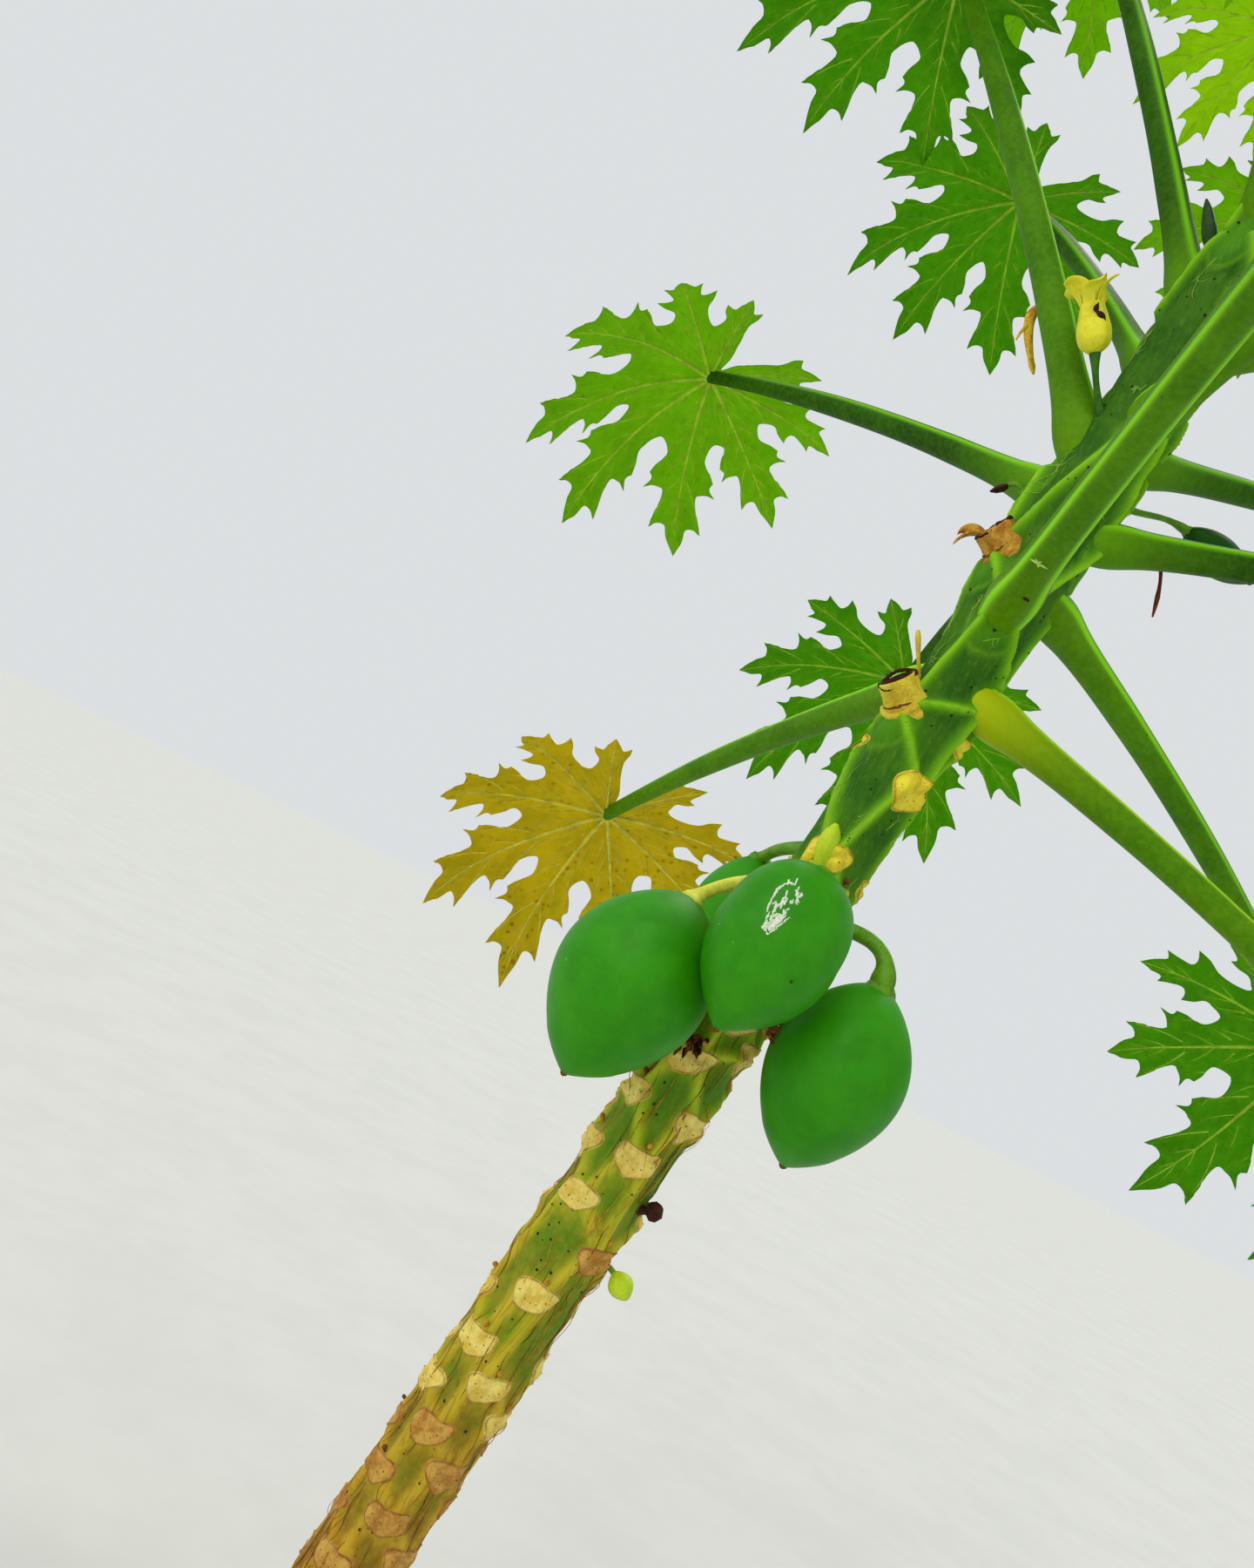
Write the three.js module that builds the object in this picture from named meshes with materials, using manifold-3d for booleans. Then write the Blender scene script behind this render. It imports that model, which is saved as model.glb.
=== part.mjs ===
// A whole papaya tree: one leaning trunk, a crown of long leaf stalks with palmate blades,
// a cluster of green fruit, two broken stalk stubs, a flower, a bud and a young fruit.
// Millimetres, +Z up, origin in the middle of the flat foot of the trunk.

import * as THREE from 'three';
import { mergeVertices } from 'three/addons/utils/BufferGeometryUtils.js';
import Module from 'manifold-3d';

// Trunk
const trunkHeight = 2200;
const leanX = 0.15; // sideways run of the trunk for each unit of height
const leanY = -0.1277;
const footSweep = 24; // how far the foot stands back from the straight line of the stem
const footSweepHeight = 150;
const trunkRadii = [
  [0, 96], [35, 78], [90, 63], [180, 54], [350, 50], [600, 48], [900, 47], [1150, 42],
  [1400, 43], [1600, 46], [1800, 46], [1950, 42], [2060, 34], [2140, 23], [trunkHeight, 9],
];
const trunkSides = 22;
const cushionHeight = 7; // swelling of the trunk under a leaf base
const cushionReach = 26;
const cushionSpread = 0.42; // radians either side of the leaf
const cushionDrop = 15; // how far below the leaf's height it is fullest
const crownStep = 45; // spacing of the trunk's levels through the crown
const crownBottom = 1360;
const crownTop = 2090;

// Leaf spiral
const leafCount = 26;
const firstLeafHeight = 1400;
const leafSpacing = 27;
const spiralStart = -25; // degrees, azimuth of leaf 0
const spiralTurn = 137.5;
const lowestRise = -25; // degrees above level of the lowest and highest leaf stalks
const riseRange = 92;
const riseEase = 0.8; // below 1 the lower leaves lift sooner
const youngGirth = 0.5; // share of its thickness that the youngest leaf lacks
const shedLeaves = [4, 5, 7, 15, 23];
// Leaves that stand a little off the even spiral: azimuth, rise, height and stalk length.
const settledLeaves = {
  0: { azimuth: -16, rise: -23, height: 1418, reach: 760 },
  2: { azimuth: -95, rise: 8, height: 1488, reach: 920 },
  3: { azimuth: 24, rise: -21, height: 1552, reach: 750 },
  6: { azimuth: 86, rise: 2, height: 1592, reach: 730 },
  8: { azimuth: -2, rise: 13, height: 1603, reach: 740 },
  10: { azimuth: -75, rise: 21, height: 1722, reach: 720 },
  11: { azimuth: 26, rise: 19, height: 1702, reach: 720 },
  12: { azimuth: 159, rise: 57, height: 1668, reach: 730, girth: 1.2 },
  13: { azimuth: -46, rise: 46, height: 1758, reach: 650 },
  14: { azimuth: 111, rise: 44, height: 1790, reach: 680 },
  16: { azimuth: 2, rise: 26, height: 1828, reach: 640 },
  17: { azimuth: 144, rise: 61, height: 1862, reach: 700, girth: 1.2 },
  18: { azimuth: -66, rise: 62, height: 1900, reach: 560 },
  20: { azimuth: -130, rise: 56, height: 1952, reach: 500 },
  21: { azimuth: -10, rise: 60, height: 1967, reach: 450, radius: 185 },
  22: { azimuth: 100, rise: 66, height: 1994, reach: 440 },
  24: { azimuth: 52, rise: 73, height: 2048, reach: 350, radius: 150 },
};

// Leaf stalks
const longestStalk = 750;
const stalkShortening = 440; // how much shorter the youngest stalk is
const stalkRadii = [[0, 27], [0.06, 27], [0.13, 21], [0.3, 17], [0.6, 15], [0.9, 11], [1, 9.5]];
const stalkSides = 8;
const stalkArch = 0.03; // rise of the middle above the chord, as a share of the length
const claspWidening = 0.3; // how much broader than deep the base is where it clasps
const claspShare = 0.13; // share of the stalk's length that the clasping base takes

// Leaf blades
const widestBlade = 365; // from the hub to the tip of the middle lobe
const bladeShrink = 215; // how much smaller the youngest blade is
const shrinkEase = 2.2; // above 1 only the last few blades are small
const ribThickness = 9;
const ribTaper = 0.4; // share of that thickness lost on the way to a lobe's tip
const lobeAngles = [0, 38, 76, 113, 148]; // degrees from the middle lobe, mirrored
const lobeLengths = [1, 0.97, 0.87, 0.7, 0.5];
const notchReach = 0.4; // radius of the notch between two lobes
const lastNotchTurn = 17; // degrees from the last lobe to the notch behind it
// Half of a lobe's edge from notch to tip, as shares of the lobe's length along and off its rib.
const lobeEdge = [[0.62, 0.19], [0.62, 0.105], [0.85, 0.15], [0.82, 0.07]];
const ribStations = [0.3, 0.5, 0.72];
// Faces of half a lobe: 0 is the hub, 1 to 3 the rib, 4 the notch, 5 to 8 the edge, 9 the tip.
const halfLobeFaces = [
  [0, 4, 1], [1, 4, 6], [4, 5, 6], [1, 6, 2], [2, 6, 8], [6, 7, 8], [2, 8, 3], [3, 8, 9],
];
const bladeTilt = 42; // degrees the middle lobe hangs below level when the stalk is level
const tiltEase = 0.5; // how much of the stalk's rise comes off that tilt
const bladeDroop = 0.32; // how far the lobe tips sag, as a share of the blade's radius
const bladeDraw = 0.18; // how far the sag draws them in

// Fruit: height and azimuth of the stalk's foot, the fruit's middle, its hang and its size
const clearance = 0.3;
const fruits = {
  fruit_left: { foot: [1190, -165], middle: [13, -219, 990], hang: [-0.2, -0.06, -1], size: [214, 77] },
  fruit_front: { foot: [1180, -103], middle: [117, -286, 1079], hang: [-0.2, -0.16, -1], size: [186, 65] },
  fruit_right: { foot: [1135, -50], middle: [236, -211, 996], hang: [-0.06, 0.1, -1], size: [204, 70] },
  fruit_back: { foot: [1200, 150], middle: [99, -33, 1097], hang: [-0.02, 0.05, -1], size: [170, 50] },
  young_fruit: { foot: [1668, 12], middle: [404, -152, 1694], hang: [1, 0.1, -0.2], size: [96, 22] },
};
const fruitSides = 14;
const fruitStations = 9;
const fruitFullness = 0.66; // lower is blunter at both ends
const fruitPoint = 0.92; // below 1 sets the widest place nearer the stalk
const fruitEnd = 0.09; // radius of the two ends, as a share of the widest
const fruitStalkRadius = 6;
const fruitStalkShape = [[0, 1.4], [0.3, 1], [0.5, 0.95], [0.75, 1], [1, 1.2]];
const fruitStalkSides = 8;
const fullFruitRadius = 45; // a slimmer fruit has a slimmer stalk
const kneeReach = 78; // how far the stalk stands out before it turns down
const neckRise = 40;
const insideTrunk = 20; // where stalks of fruit and flowers start, out from the trunk's middle

// Flower and bud in the leaf axils: where the stalk leaves the trunk, its bend and its far end
const blossomSides = 10;
const blossoms = {
  flower: {
    foot: [1722, -155],
    bend: [168, -246, 1760],
    end: [140, -250, 1862],
    radii: [[0, 5], [0.4, 4.5], [0.5, 9], [0.62, 19], [0.74, 20], [0.84, 15], [0.94, 25], [1, 22]],
  },
  flower_bud: {
    foot: [1918, -168],
    bend: [238, -248, 1940],
    end: [205, -252, 1995],
    radii: [[0, 3.5], [0.45, 3.5], [0.6, 6.5], [0.8, 6], [1, 2]],
  },
};

// Broken stalk stubs: height, azimuth, distance of the cut from the trunk's middle, radius
const stubs = { stub_lower: [1360, -152, 82, 20], stub_upper: [1553, -174, 80, 20] };
const stubRise = 30;
const stubSides = 10;
const stubShape = [[0, 1], [0.7, 1], [1, 0.8]];

const degree = Math.PI / 180;
const up = new THREE.Vector3(0, 0, 1);
const wasm = await Module();
wasm.setup();

const materials = {
  bark: new THREE.MeshStandardMaterial({ color: 0x8a8a3a, roughness: 0.85, metalness: 0 }),
  stalk: new THREE.MeshStandardMaterial({ color: 0x6a9a1e, roughness: 0.5, metalness: 0 }),
  blade: new THREE.MeshStandardMaterial({ color: 0x3f8f12, roughness: 0.6, metalness: 0 }),
  fruit: new THREE.MeshStandardMaterial({ color: 0x237a0c, roughness: 0.4, metalness: 0 }),
  petal: new THREE.MeshStandardMaterial({ color: 0xe6dc6a, roughness: 0.55, metalness: 0 }),
};

function lerpTable(table, at) {
  const last = table.length - 1;
  const next = Math.min(Math.max(table.findIndex(([place]) => place >= at), 1), last);
  const [[a, low], [b, high]] = [table[next - 1], table[next]];
  return low + (high - low) * THREE.MathUtils.clamp((at - a) / (b - a), 0, 1);
}

function trunkMiddle(height) {
  const sweep = footSweep * (1 - Math.exp(-height / footSweepHeight));
  return new THREE.Vector3(leanX * height - sweep, leanY * height, height);
}

function direction(azimuth, rise) {
  const level = Math.cos(rise * degree);
  return new THREE.Vector3(
    Math.cos(azimuth * degree) * level,
    Math.sin(azimuth * degree) * level,
    Math.sin(rise * degree),
  );
}

function toSolid(geometry) {
  geometry.deleteAttribute('normal');
  geometry.deleteAttribute('uv');
  const merged = mergeVertices(geometry, 1e-3);
  const vertProperties = new Float32Array(merged.attributes.position.array);
  const triVerts = new Uint32Array(merged.index.array);
  return new wasm.Manifold(new wasm.Mesh({ numProp: 3, vertProperties, triVerts }));
}

function toGeometry(solid) {
  const mesh = solid.getMesh();
  const geometry = new THREE.BufferGeometry();
  geometry.setAttribute('position', new THREE.BufferAttribute(mesh.vertProperties, 3));
  geometry.setIndex(new THREE.BufferAttribute(mesh.triVerts, 1));
  geometry.computeVertexNormals();
  return geometry;
}

function largestPiece(solid) {
  return solid.decompose().reduce((best, piece) => (piece.volume() > best.volume() ? piece : best));
}

// A turned form whose axis runs from 0 to 1 along its own Y, ready to be laid along a curve.
function turned(radii, sides) {
  const outline = [
    new THREE.Vector2(0, radii[0][0]),
    ...radii.map(([share, radius]) => new THREE.Vector2(radius, share)),
    new THREE.Vector2(0, radii[radii.length - 1][0]),
  ];
  return new THREE.LatheGeometry(outline, sides);
}

// Lays a turned form along a curve. widen(share) broadens it sideways.
function limb(curve, radii, sides, widen = () => 1) {
  const geometry = turned(radii, sides);
  const position = geometry.attributes.position;
  for (let i = 0; i < position.count; i += 1) {
    const share = THREE.MathUtils.clamp(position.getY(i), 0, 1);
    const along = curve.getTangent(share);
    const side = new THREE.Vector3().crossVectors(up, along).normalize();
    const lift = new THREE.Vector3().crossVectors(along, side);
    const place = curve.getPoint(share)
      .addScaledVector(side, position.getZ(i) * widen(share))
      .addScaledVector(lift, position.getX(i));
    position.setXYZ(i, place.x, place.y, place.z);
  }
  return toSolid(geometry);
}

function leafPlan(index) {
  const age = index / (leafCount - 1);
  const plan = {
    azimuth: spiralStart + spiralTurn * index,
    rise: lowestRise + riseRange * age ** riseEase,
    height: firstLeafHeight + leafSpacing * index,
    reach: longestStalk - stalkShortening * age ** 2,
    radius: widestBlade - bladeShrink * age ** shrinkEase,
    vigour: 1 - youngGirth * age ** 2,
    girth: 1,
    ...settledLeaves[index],
  };
  const start = trunkMiddle(plan.height);
  const out = direction(plan.azimuth, plan.rise);
  const hub = start.clone().addScaledVector(out, plan.reach);
  const arch = start.clone().lerp(hub, 0.5);
  arch.z += 2 * stalkArch * plan.reach;
  return { ...plan, hub, stalk: new THREE.QuadraticBezierCurve3(start, arch, hub) };
}

const leaves = [];
for (let index = 0; index < leafCount; index += 1) {
  if (!shedLeaves.includes(index)) leaves.push({ index, ...leafPlan(index) });
}

// The trunk is turned on its axis, then each level is shifted along the lean, so the foot
// stays flat. Below each leaf the stem swells into a cushion.
function trunkSolid(grow = 0) {
  const heights = trunkRadii.map(([height]) => height);
  const levels = heights.filter((height) => height < crownBottom - crownStep / 2);
  for (let height = crownBottom; height < crownTop; height += crownStep) levels.push(height);
  levels.push(...heights.filter((height) => height > crownTop));
  const geometry = turned(levels.map((height) => [height, 1]), trunkSides);
  const position = geometry.attributes.position;
  for (let i = 0; i < position.count; i += 1) {
    const height = position.getY(i);
    const across = Math.hypot(position.getX(i), position.getZ(i));
    const angle = Math.atan2(position.getX(i), position.getZ(i));
    const radius = (lerpTable(trunkRadii, height) + cushions(height, angle) + grow) * across;
    const middle = trunkMiddle(height);
    const lift = grow * Math.sign(height - 1);
    position.setXYZ(
      i,
      middle.x + Math.cos(angle) * radius,
      middle.y + Math.sin(angle) * radius,
      height + lift,
    );
  }
  return toSolid(geometry);
}

function cushions(height, angle) {
  let swelling = 0;
  for (const leaf of leaves) {
    const turn = Math.atan2(
      Math.sin(angle - leaf.azimuth * degree),
      Math.cos(angle - leaf.azimuth * degree),
    );
    const drop = (height - leaf.height + cushionDrop) / cushionReach;
    swelling += cushionHeight * leaf.vigour * Math.exp(-drop * drop - (turn / cushionSpread) ** 2);
  }
  return swelling;
}

const trunk = trunkSolid();
const trunkRoom = trunkSolid(clearance);

// The blade's own directions: out along the middle lobe, sideways, and up through the blade.
function bladeFrame(leaf) {
  const tilt = bladeTilt - tiltEase * leaf.rise;
  const out = direction(leaf.azimuth, -tilt);
  const side = new THREE.Vector3().crossVectors(up, out).normalize();
  return { out, side, top: new THREE.Vector3().crossVectors(out, side) };
}

function bladePoint(leaf, frame, along, off, lobeAngle, below) {
  const angle = lobeAngle * degree;
  const x = along * Math.cos(angle) - off * Math.sin(angle);
  const y = along * Math.sin(angle) + off * Math.cos(angle);
  const reach = Math.hypot(x, y);
  const sag = bladeDroop * leaf.radius * (reach / leaf.radius) ** 2;
  const draw = 1 - bladeDraw * (reach / leaf.radius) ** 2;
  return leaf.hub.clone()
    .addScaledVector(frame.out, x * draw)
    .addScaledVector(frame.side, y * draw)
    .addScaledVector(frame.top, -sag - below);
}

// Every lobe of a blade on both sides of the middle one, as its angle and its length.
function lobesOf(leaf) {
  const lobes = lobeAngles.map((angle, i) => ({ angle, length: lobeLengths[i] * leaf.radius }));
  const mirrored = lobes.slice(1).map(({ angle, length }) => ({ angle: -angle, length }));
  return [...mirrored.reverse(), ...lobes];
}

// One palmate blade: every lobe is a pair of strips between its rib and its toothed edge.
// The upper and lower skins share the edge and are thickest apart along the ribs.
function bladeSolid(leaf, grow = 0) {
  const frame = bladeFrame(leaf);
  const spots = [];
  const triangles = [];
  const add = (...spot) => spots.push(bladePoint(leaf, frame, ...spot)) - 1;
  const notch = (angle) => add(notchReach * leaf.radius, 0, angle, 0);
  const thickness = ribThickness * leaf.vigour;
  const hubs = [add(0, 0, 0, -grow), add(0, 0, 0, thickness + grow)];
  const lobes = lobesOf(leaf);
  const firstNotch = notch(lobes[0].angle - lastNotchTurn);
  let before = firstNotch;
  lobes.forEach(({ angle, length }, i) => {
    const turn = i + 1 < lobes.length ? (lobes[i + 1].angle - angle) / 2 : lastNotchTurn;
    const after = notch(angle + turn);
    const tip = add(length, 0, angle, 0);
    const halves = [[-1, before], [1, after]].map(([sign, notchSpot]) => {
      const teeth = lobeEdge.map(([along, off]) => add(along * length, sign * off * length, angle, 0));
      return [notchSpot, ...teeth, tip];
    });
    hubs.forEach((hub, lower) => {
      const rib = ribStations.map((station) => {
        const below = lower ? thickness * (1 - ribTaper * station) + grow : -grow;
        return add(station * length, 0, angle, below);
      });
      halves.forEach((edge, left) => {
        const corners = [hub, ...rib, ...edge];
        for (const [a, b, c] of halfLobeFaces) {
          const flipped = Boolean(lower) !== Boolean(left);
          const [second, third] = flipped ? [c, b] : [b, c];
          triangles.push(corners[a], corners[second], corners[third]);
        }
      });
    });
    before = after;
  });
  triangles.push(hubs[0], before, firstNotch, hubs[1], firstNotch, before);
  const geometry = new THREE.BufferGeometry().setFromPoints(spots);
  geometry.setIndex(triangles);
  return toSolid(geometry);
}

// A leaf stalk is cut to the trunk at its clasping base and to its blade's hub at its tip.
function stalkSolid(leaf) {
  const radii = stalkRadii.map(([share, radius]) => [share, radius * leaf.vigour * leaf.girth]);
  const widen = (share) => 1 + claspWidening * Math.max(0, 1 - share / claspShare);
  const whole = limb(leaf.stalk, radii, stalkSides, widen);
  return largestPiece(whole.subtract(trunkRoom).subtract(bladeSolid(leaf, clearance)));
}

// The outline of a fruit from its stalk to its blunt point.
function fruitRadii(radius) {
  const shares = Array.from({ length: fruitStations + 1 }, (_, i) => i / fruitStations);
  return shares.map((share) => {
    const swell = Math.sin(Math.PI * share ** fruitPoint) ** fruitFullness;
    return [share, radius * Math.max(swell, fruitEnd)];
  });
}

// A fruit's stalk leaves the trunk level, bends over and enters the fruit from above.
function fruitStalk(foot, top, drop, thickness) {
  const [height, azimuth] = foot;
  const out = direction(azimuth, 0);
  const root = trunkMiddle(height).addScaledVector(out, insideTrunk);
  const knee = trunkMiddle(height).addScaledVector(out, kneeReach);
  const over = top.clone().addScaledVector(drop, -neckRise);
  const neck = top.clone().addScaledVector(drop, thickness);
  const radii = fruitStalkShape.map(([share, factor]) => [share, factor * thickness]);
  return limb(new THREE.CubicBezierCurve3(root, knee, over, neck), radii, fruitStalkSides);
}

function fruitSolid({ foot, middle, hang, size }) {
  const [length, radius] = size;
  const drop = new THREE.Vector3(...hang).normalize();
  const centre = new THREE.Vector3(...middle);
  const top = centre.clone().addScaledVector(drop, -length / 2);
  const tip = centre.clone().addScaledVector(drop, length / 2);
  const body = limb(new THREE.LineCurve3(top, tip), fruitRadii(radius), fruitSides);
  const thickness = fruitStalkRadius * Math.min(1, radius / fullFruitRadius);
  return largestPiece(body.add(fruitStalk(foot, top, drop, thickness)).subtract(trunkRoom));
}

// A blossom and its stalk are one turned form on a bent path that starts inside the trunk.
function blossomSolid({ foot, bend, end, radii }) {
  const [height, azimuth] = foot;
  const root = trunkMiddle(height).addScaledVector(direction(azimuth, 0), insideTrunk);
  const corners = [root, new THREE.Vector3(...bend), new THREE.Vector3(...end)];
  const path = new THREE.QuadraticBezierCurve3(...corners);
  return largestPiece(limb(path, radii, blossomSides).subtract(trunkRoom));
}

// A stub is the foot of a broken leaf stalk, cut off a little way from the trunk.
function stubSolid([height, azimuth, reach, radius]) {
  const start = trunkMiddle(height);
  const end = start.clone().addScaledVector(direction(azimuth, stubRise), reach);
  const radii = stubShape.map(([share, factor]) => [share, factor * radius]);
  return largestPiece(limb(new THREE.LineCurve3(start, end), radii, stubSides).subtract(trunkRoom));
}

const tree = new THREE.Group();

function addPiece(name, solid, material) {
  const mesh = new THREE.Mesh(toGeometry(solid), material);
  mesh.name = name;
  tree.add(mesh);
}

addPiece('trunk', trunk, materials.bark);
for (const leaf of leaves) {
  const number = String(leaf.index).padStart(2, '0');
  addPiece(`leaf_stalk_${number}`, stalkSolid(leaf), materials.stalk);
  addPiece(`leaf_blade_${number}`, bladeSolid(leaf), materials.blade);
}
for (const [name, plan] of Object.entries(fruits)) addPiece(name, fruitSolid(plan), materials.fruit);
for (const [name, plan] of Object.entries(blossoms)) addPiece(name, blossomSolid(plan), materials.petal);
for (const [name, plan] of Object.entries(stubs)) addPiece(name, stubSolid(plan), materials.stalk);

export default tree;
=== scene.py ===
import math
import bpy
import numpy as np
from mathutils import Matrix, Vector
from mathutils.geometry import delaunay_2d_cdt


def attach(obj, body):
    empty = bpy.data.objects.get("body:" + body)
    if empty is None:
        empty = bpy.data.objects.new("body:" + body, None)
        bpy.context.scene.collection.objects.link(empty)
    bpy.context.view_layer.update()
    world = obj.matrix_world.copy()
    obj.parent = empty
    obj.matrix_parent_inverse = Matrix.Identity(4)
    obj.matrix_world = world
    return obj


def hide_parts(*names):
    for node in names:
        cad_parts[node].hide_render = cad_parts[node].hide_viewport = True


# A papaya tree in fruit, in metres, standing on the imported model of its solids.

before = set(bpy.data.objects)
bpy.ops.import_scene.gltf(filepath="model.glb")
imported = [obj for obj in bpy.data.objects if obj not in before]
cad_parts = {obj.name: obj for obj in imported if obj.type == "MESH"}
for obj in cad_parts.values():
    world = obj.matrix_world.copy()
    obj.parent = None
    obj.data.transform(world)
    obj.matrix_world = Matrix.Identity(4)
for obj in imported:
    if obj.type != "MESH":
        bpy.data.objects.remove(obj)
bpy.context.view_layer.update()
print("frame loaded:", len(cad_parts), "nodes")

view = {
    "place": (-0.075, -1.42, 1.02),
    "pitch": 7.0,  # degrees above level
    "roll": 26.0,  # degrees the camera is turned about its own line of sight
    "lens": 27.72,  # mm on the photo's long side of 36 mm
}


def makeCamera():
    pitch, roll = math.radians(view["pitch"]), math.radians(view["roll"])
    forward = Vector((0, math.cos(pitch), math.sin(pitch)))
    level, rise = Vector((1, 0, 0)), Vector((0, -math.sin(pitch), math.cos(pitch)))
    right = level * math.cos(roll) + rise * math.sin(roll)
    top = rise * math.cos(roll) - level * math.sin(roll)
    data = bpy.data.cameras.new("camera")
    data.sensor_width = 36
    data.lens = view["lens"]
    data.clip_start = 0.02
    camera = bpy.data.objects.new("camera", data)
    turn = Matrix((right, top, -forward)).transposed().to_4x4()
    camera.matrix_world = Matrix.Translation(view["place"]) @ turn
    bpy.context.scene.collection.objects.link(camera)
    bpy.context.scene.camera = camera


makeCamera()
print("camera placed")


# Small helpers for points and directions

def unit(v):
    return v / np.maximum(np.linalg.norm(v, axis=-1, keepdims=True), 1e-12)


def direction(azimuth, rise):
    a, e = math.radians(azimuth), math.radians(rise)
    return np.array([math.cos(a) * math.cos(e), math.sin(a) * math.cos(e), math.sin(e)])


def squareTo(axis):
    # two directions at right angles to the axis and each other, the first one level
    side = unit(np.cross([0.0, 0.0, 1.0], axis))
    return side, np.cross(axis, side)


def hermite(t, a, b, slopeA, slopeB, gap):
    ends = (2 * t**3 - 3 * t**2 + 1) * a + (3 * t**2 - 2 * t**3) * b
    return ends + gap * ((t**3 - 2 * t**2 + t) * slopeA + (t**3 - t**2) * slopeB)


def smoothTable(table, at):
    # a smooth line through the table's points
    places, values = np.array(table, float).T
    slopes = np.gradient(values, places)
    at = np.clip(at, places[0], places[-1])
    i = np.clip(np.searchsorted(places, at) - 1, 0, len(places) - 2)
    step = places[i + 1] - places[i]
    return hermite((at - places[i]) / step, values[i], values[i + 1], slopes[i], slopes[i + 1], step)


def bezier(corners, count):
    t = np.linspace(0, 1, count)[:, None]
    p = np.array(corners, float)
    if len(p) == 3:
        return (1 - t) ** 2 * p[0] + 2 * t * (1 - t) * p[1] + t**2 * p[2]
    return (1 - t) ** 3 * p[0] + 3 * t * (1 - t) ** 2 * p[1] + 3 * t**2 * (1 - t) * p[2] + t**3 * p[3]


def ringFaces(rows, columns):
    # quads between closed rings of points
    r, c = np.meshgrid(np.arange(rows - 1), np.arange(columns), indexing="ij")
    a, b = r * columns + c, r * columns + (c + 1) % columns
    return np.stack([a, b, b + columns, a + columns], -1).reshape(-1, 4)


def ringAngles(sides):
    return np.arange(sides) * 2 * math.pi / sides


def closeTube(points, rows, sides, first, last):
    # faces for rings of points, with a fan of triangles to a point at each end
    n, walk = rows * sides, np.arange(sides)
    ahead = (walk + 1) % sides
    low = np.stack([ahead, walk, np.full(sides, n)], -1)
    high = np.stack([walk + n - sides, ahead + n - sides, np.full(sides, n + 1)], -1)
    return np.vstack([points.reshape(-1, 3), first, last]), [ringFaces(rows, sides), low, high]


def tube(middles, across, upward, radii, sides, profile):
    # rings round the middles, which profile(angle, share) scales round the section
    angle = ringAngles(sides)
    share = np.linspace(0, 1, len(middles))[:, None]
    size = radii[:, None] * (np.ones((1, sides)) if profile is None else profile(angle[None, :], share))
    ring = np.cos(angle)[:, None] * across[..., None, :] + np.sin(angle)[:, None] * upward[..., None, :]
    points = middles[:, None] + size[..., None] * ring
    return closeTube(points, len(middles), sides, middles[0], middles[-1])


def sweep(path, radii, sides, upward=(0, 0, 1), profile=None):
    # A closed tube along a path, with a radius for each point. Angle 0 of its section points to
    # the side, a quarter turn to the top.
    path = np.array(path, float)
    along = unit(np.gradient(path, axis=0))
    side = unit(np.cross(np.array(upward, float), along[0]))
    across = []
    for a in along:
        side = unit(side - a * side.dot(a))
        across.append(side)
    across = np.array(across)
    return tube(path, across, np.cross(along, across), np.array(radii, float), sides, profile)


def turned(foot, axis, outline, sides, profile=None):
    # a body turned about an axis: outline is pairs of distance along it and radius
    axis = unit(np.array(axis, float))
    along, radii = np.array(outline, float).T
    return tube(foot + along[:, None] * axis, *squareTo(axis), radii, sides, profile)


def fluted(depth, folds=5, twist=0):
    # a profile with rounded folds
    return lambda angle, share: 1 + depth * np.cos(folds * angle + twist * share)


def graded(count, places, values):
    return np.interp(np.linspace(0, 1, count), places, values)


finishes = {}  # every material by its name
total = {"triangles": 0}


def newBundle():
    return {"points": [], "faces": [], "slots": [], "count": 0, "masks": {}}


def addPart(bundle, part, slot=0, **masks):
    # slot is one number for the whole part, or one for each of its arrays of faces
    points, faces = part
    bundle["points"].append(points)
    for patch, number in zip(faces, np.broadcast_to(slot, len(faces))):
        bundle["faces"].append(patch + bundle["count"])
        bundle["slots"].append(np.full(len(patch), number))
    for name, values in masks.items():
        bundle["masks"].setdefault(name, []).append((bundle["count"], np.asarray(values, np.float32)))
    bundle["count"] += len(points)


def addRod(bundle, slot, corners, count, places, radii, sides, profile=None):
    # a bent rod that gets thicker and thinner along its length
    path = bezier(corners, count)
    addPart(bundle, sweep(path, graded(count, places, radii), sides, profile=profile), slot)
    return path


def makePiece(name, bundle, slots, nodes=(), sharp=60):
    points, faces = np.vstack(bundle["points"]), bundle["faces"]
    sizes = np.concatenate([np.full(len(f), f.shape[1]) for f in faces])
    corners = np.concatenate([f.ravel() for f in faces])
    mesh = bpy.data.meshes.new(name)
    mesh.vertices.add(len(points))
    mesh.vertices.foreach_set("co", points.astype(np.float32).ravel())
    mesh.loops.add(len(corners))
    mesh.loops.foreach_set("vertex_index", corners.astype(np.int32))
    mesh.polygons.add(len(sizes))
    mesh.polygons.foreach_set("loop_start", (np.cumsum(sizes) - sizes).astype(np.int32))
    mesh.polygons.foreach_set("material_index", np.concatenate(bundle["slots"]).astype(np.int32))
    mesh.update(calc_edges=True)
    for mask, parts in bundle["masks"].items():
        values = np.zeros(len(points), np.float32)
        for start, part in parts:
            values[start:start + len(part)] = part
        mesh.attributes.new(mask, "FLOAT", "POINT").data.foreach_set("value", values)
    mesh.shade_smooth()
    mesh.set_sharp_from_angle(angle=math.radians(sharp))
    for finish in slots:
        mesh.materials.append(finishes[finish])
    piece = bpy.data.objects.new(name, mesh)
    bpy.context.scene.collection.objects.link(piece)
    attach(piece, "root")
    if nodes:
        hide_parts(*nodes)
    triangles = int((sizes - 2).sum())
    total["triangles"] += triangles
    print(f"{name}: {triangles} triangles")


# Colours and shader groups

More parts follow.
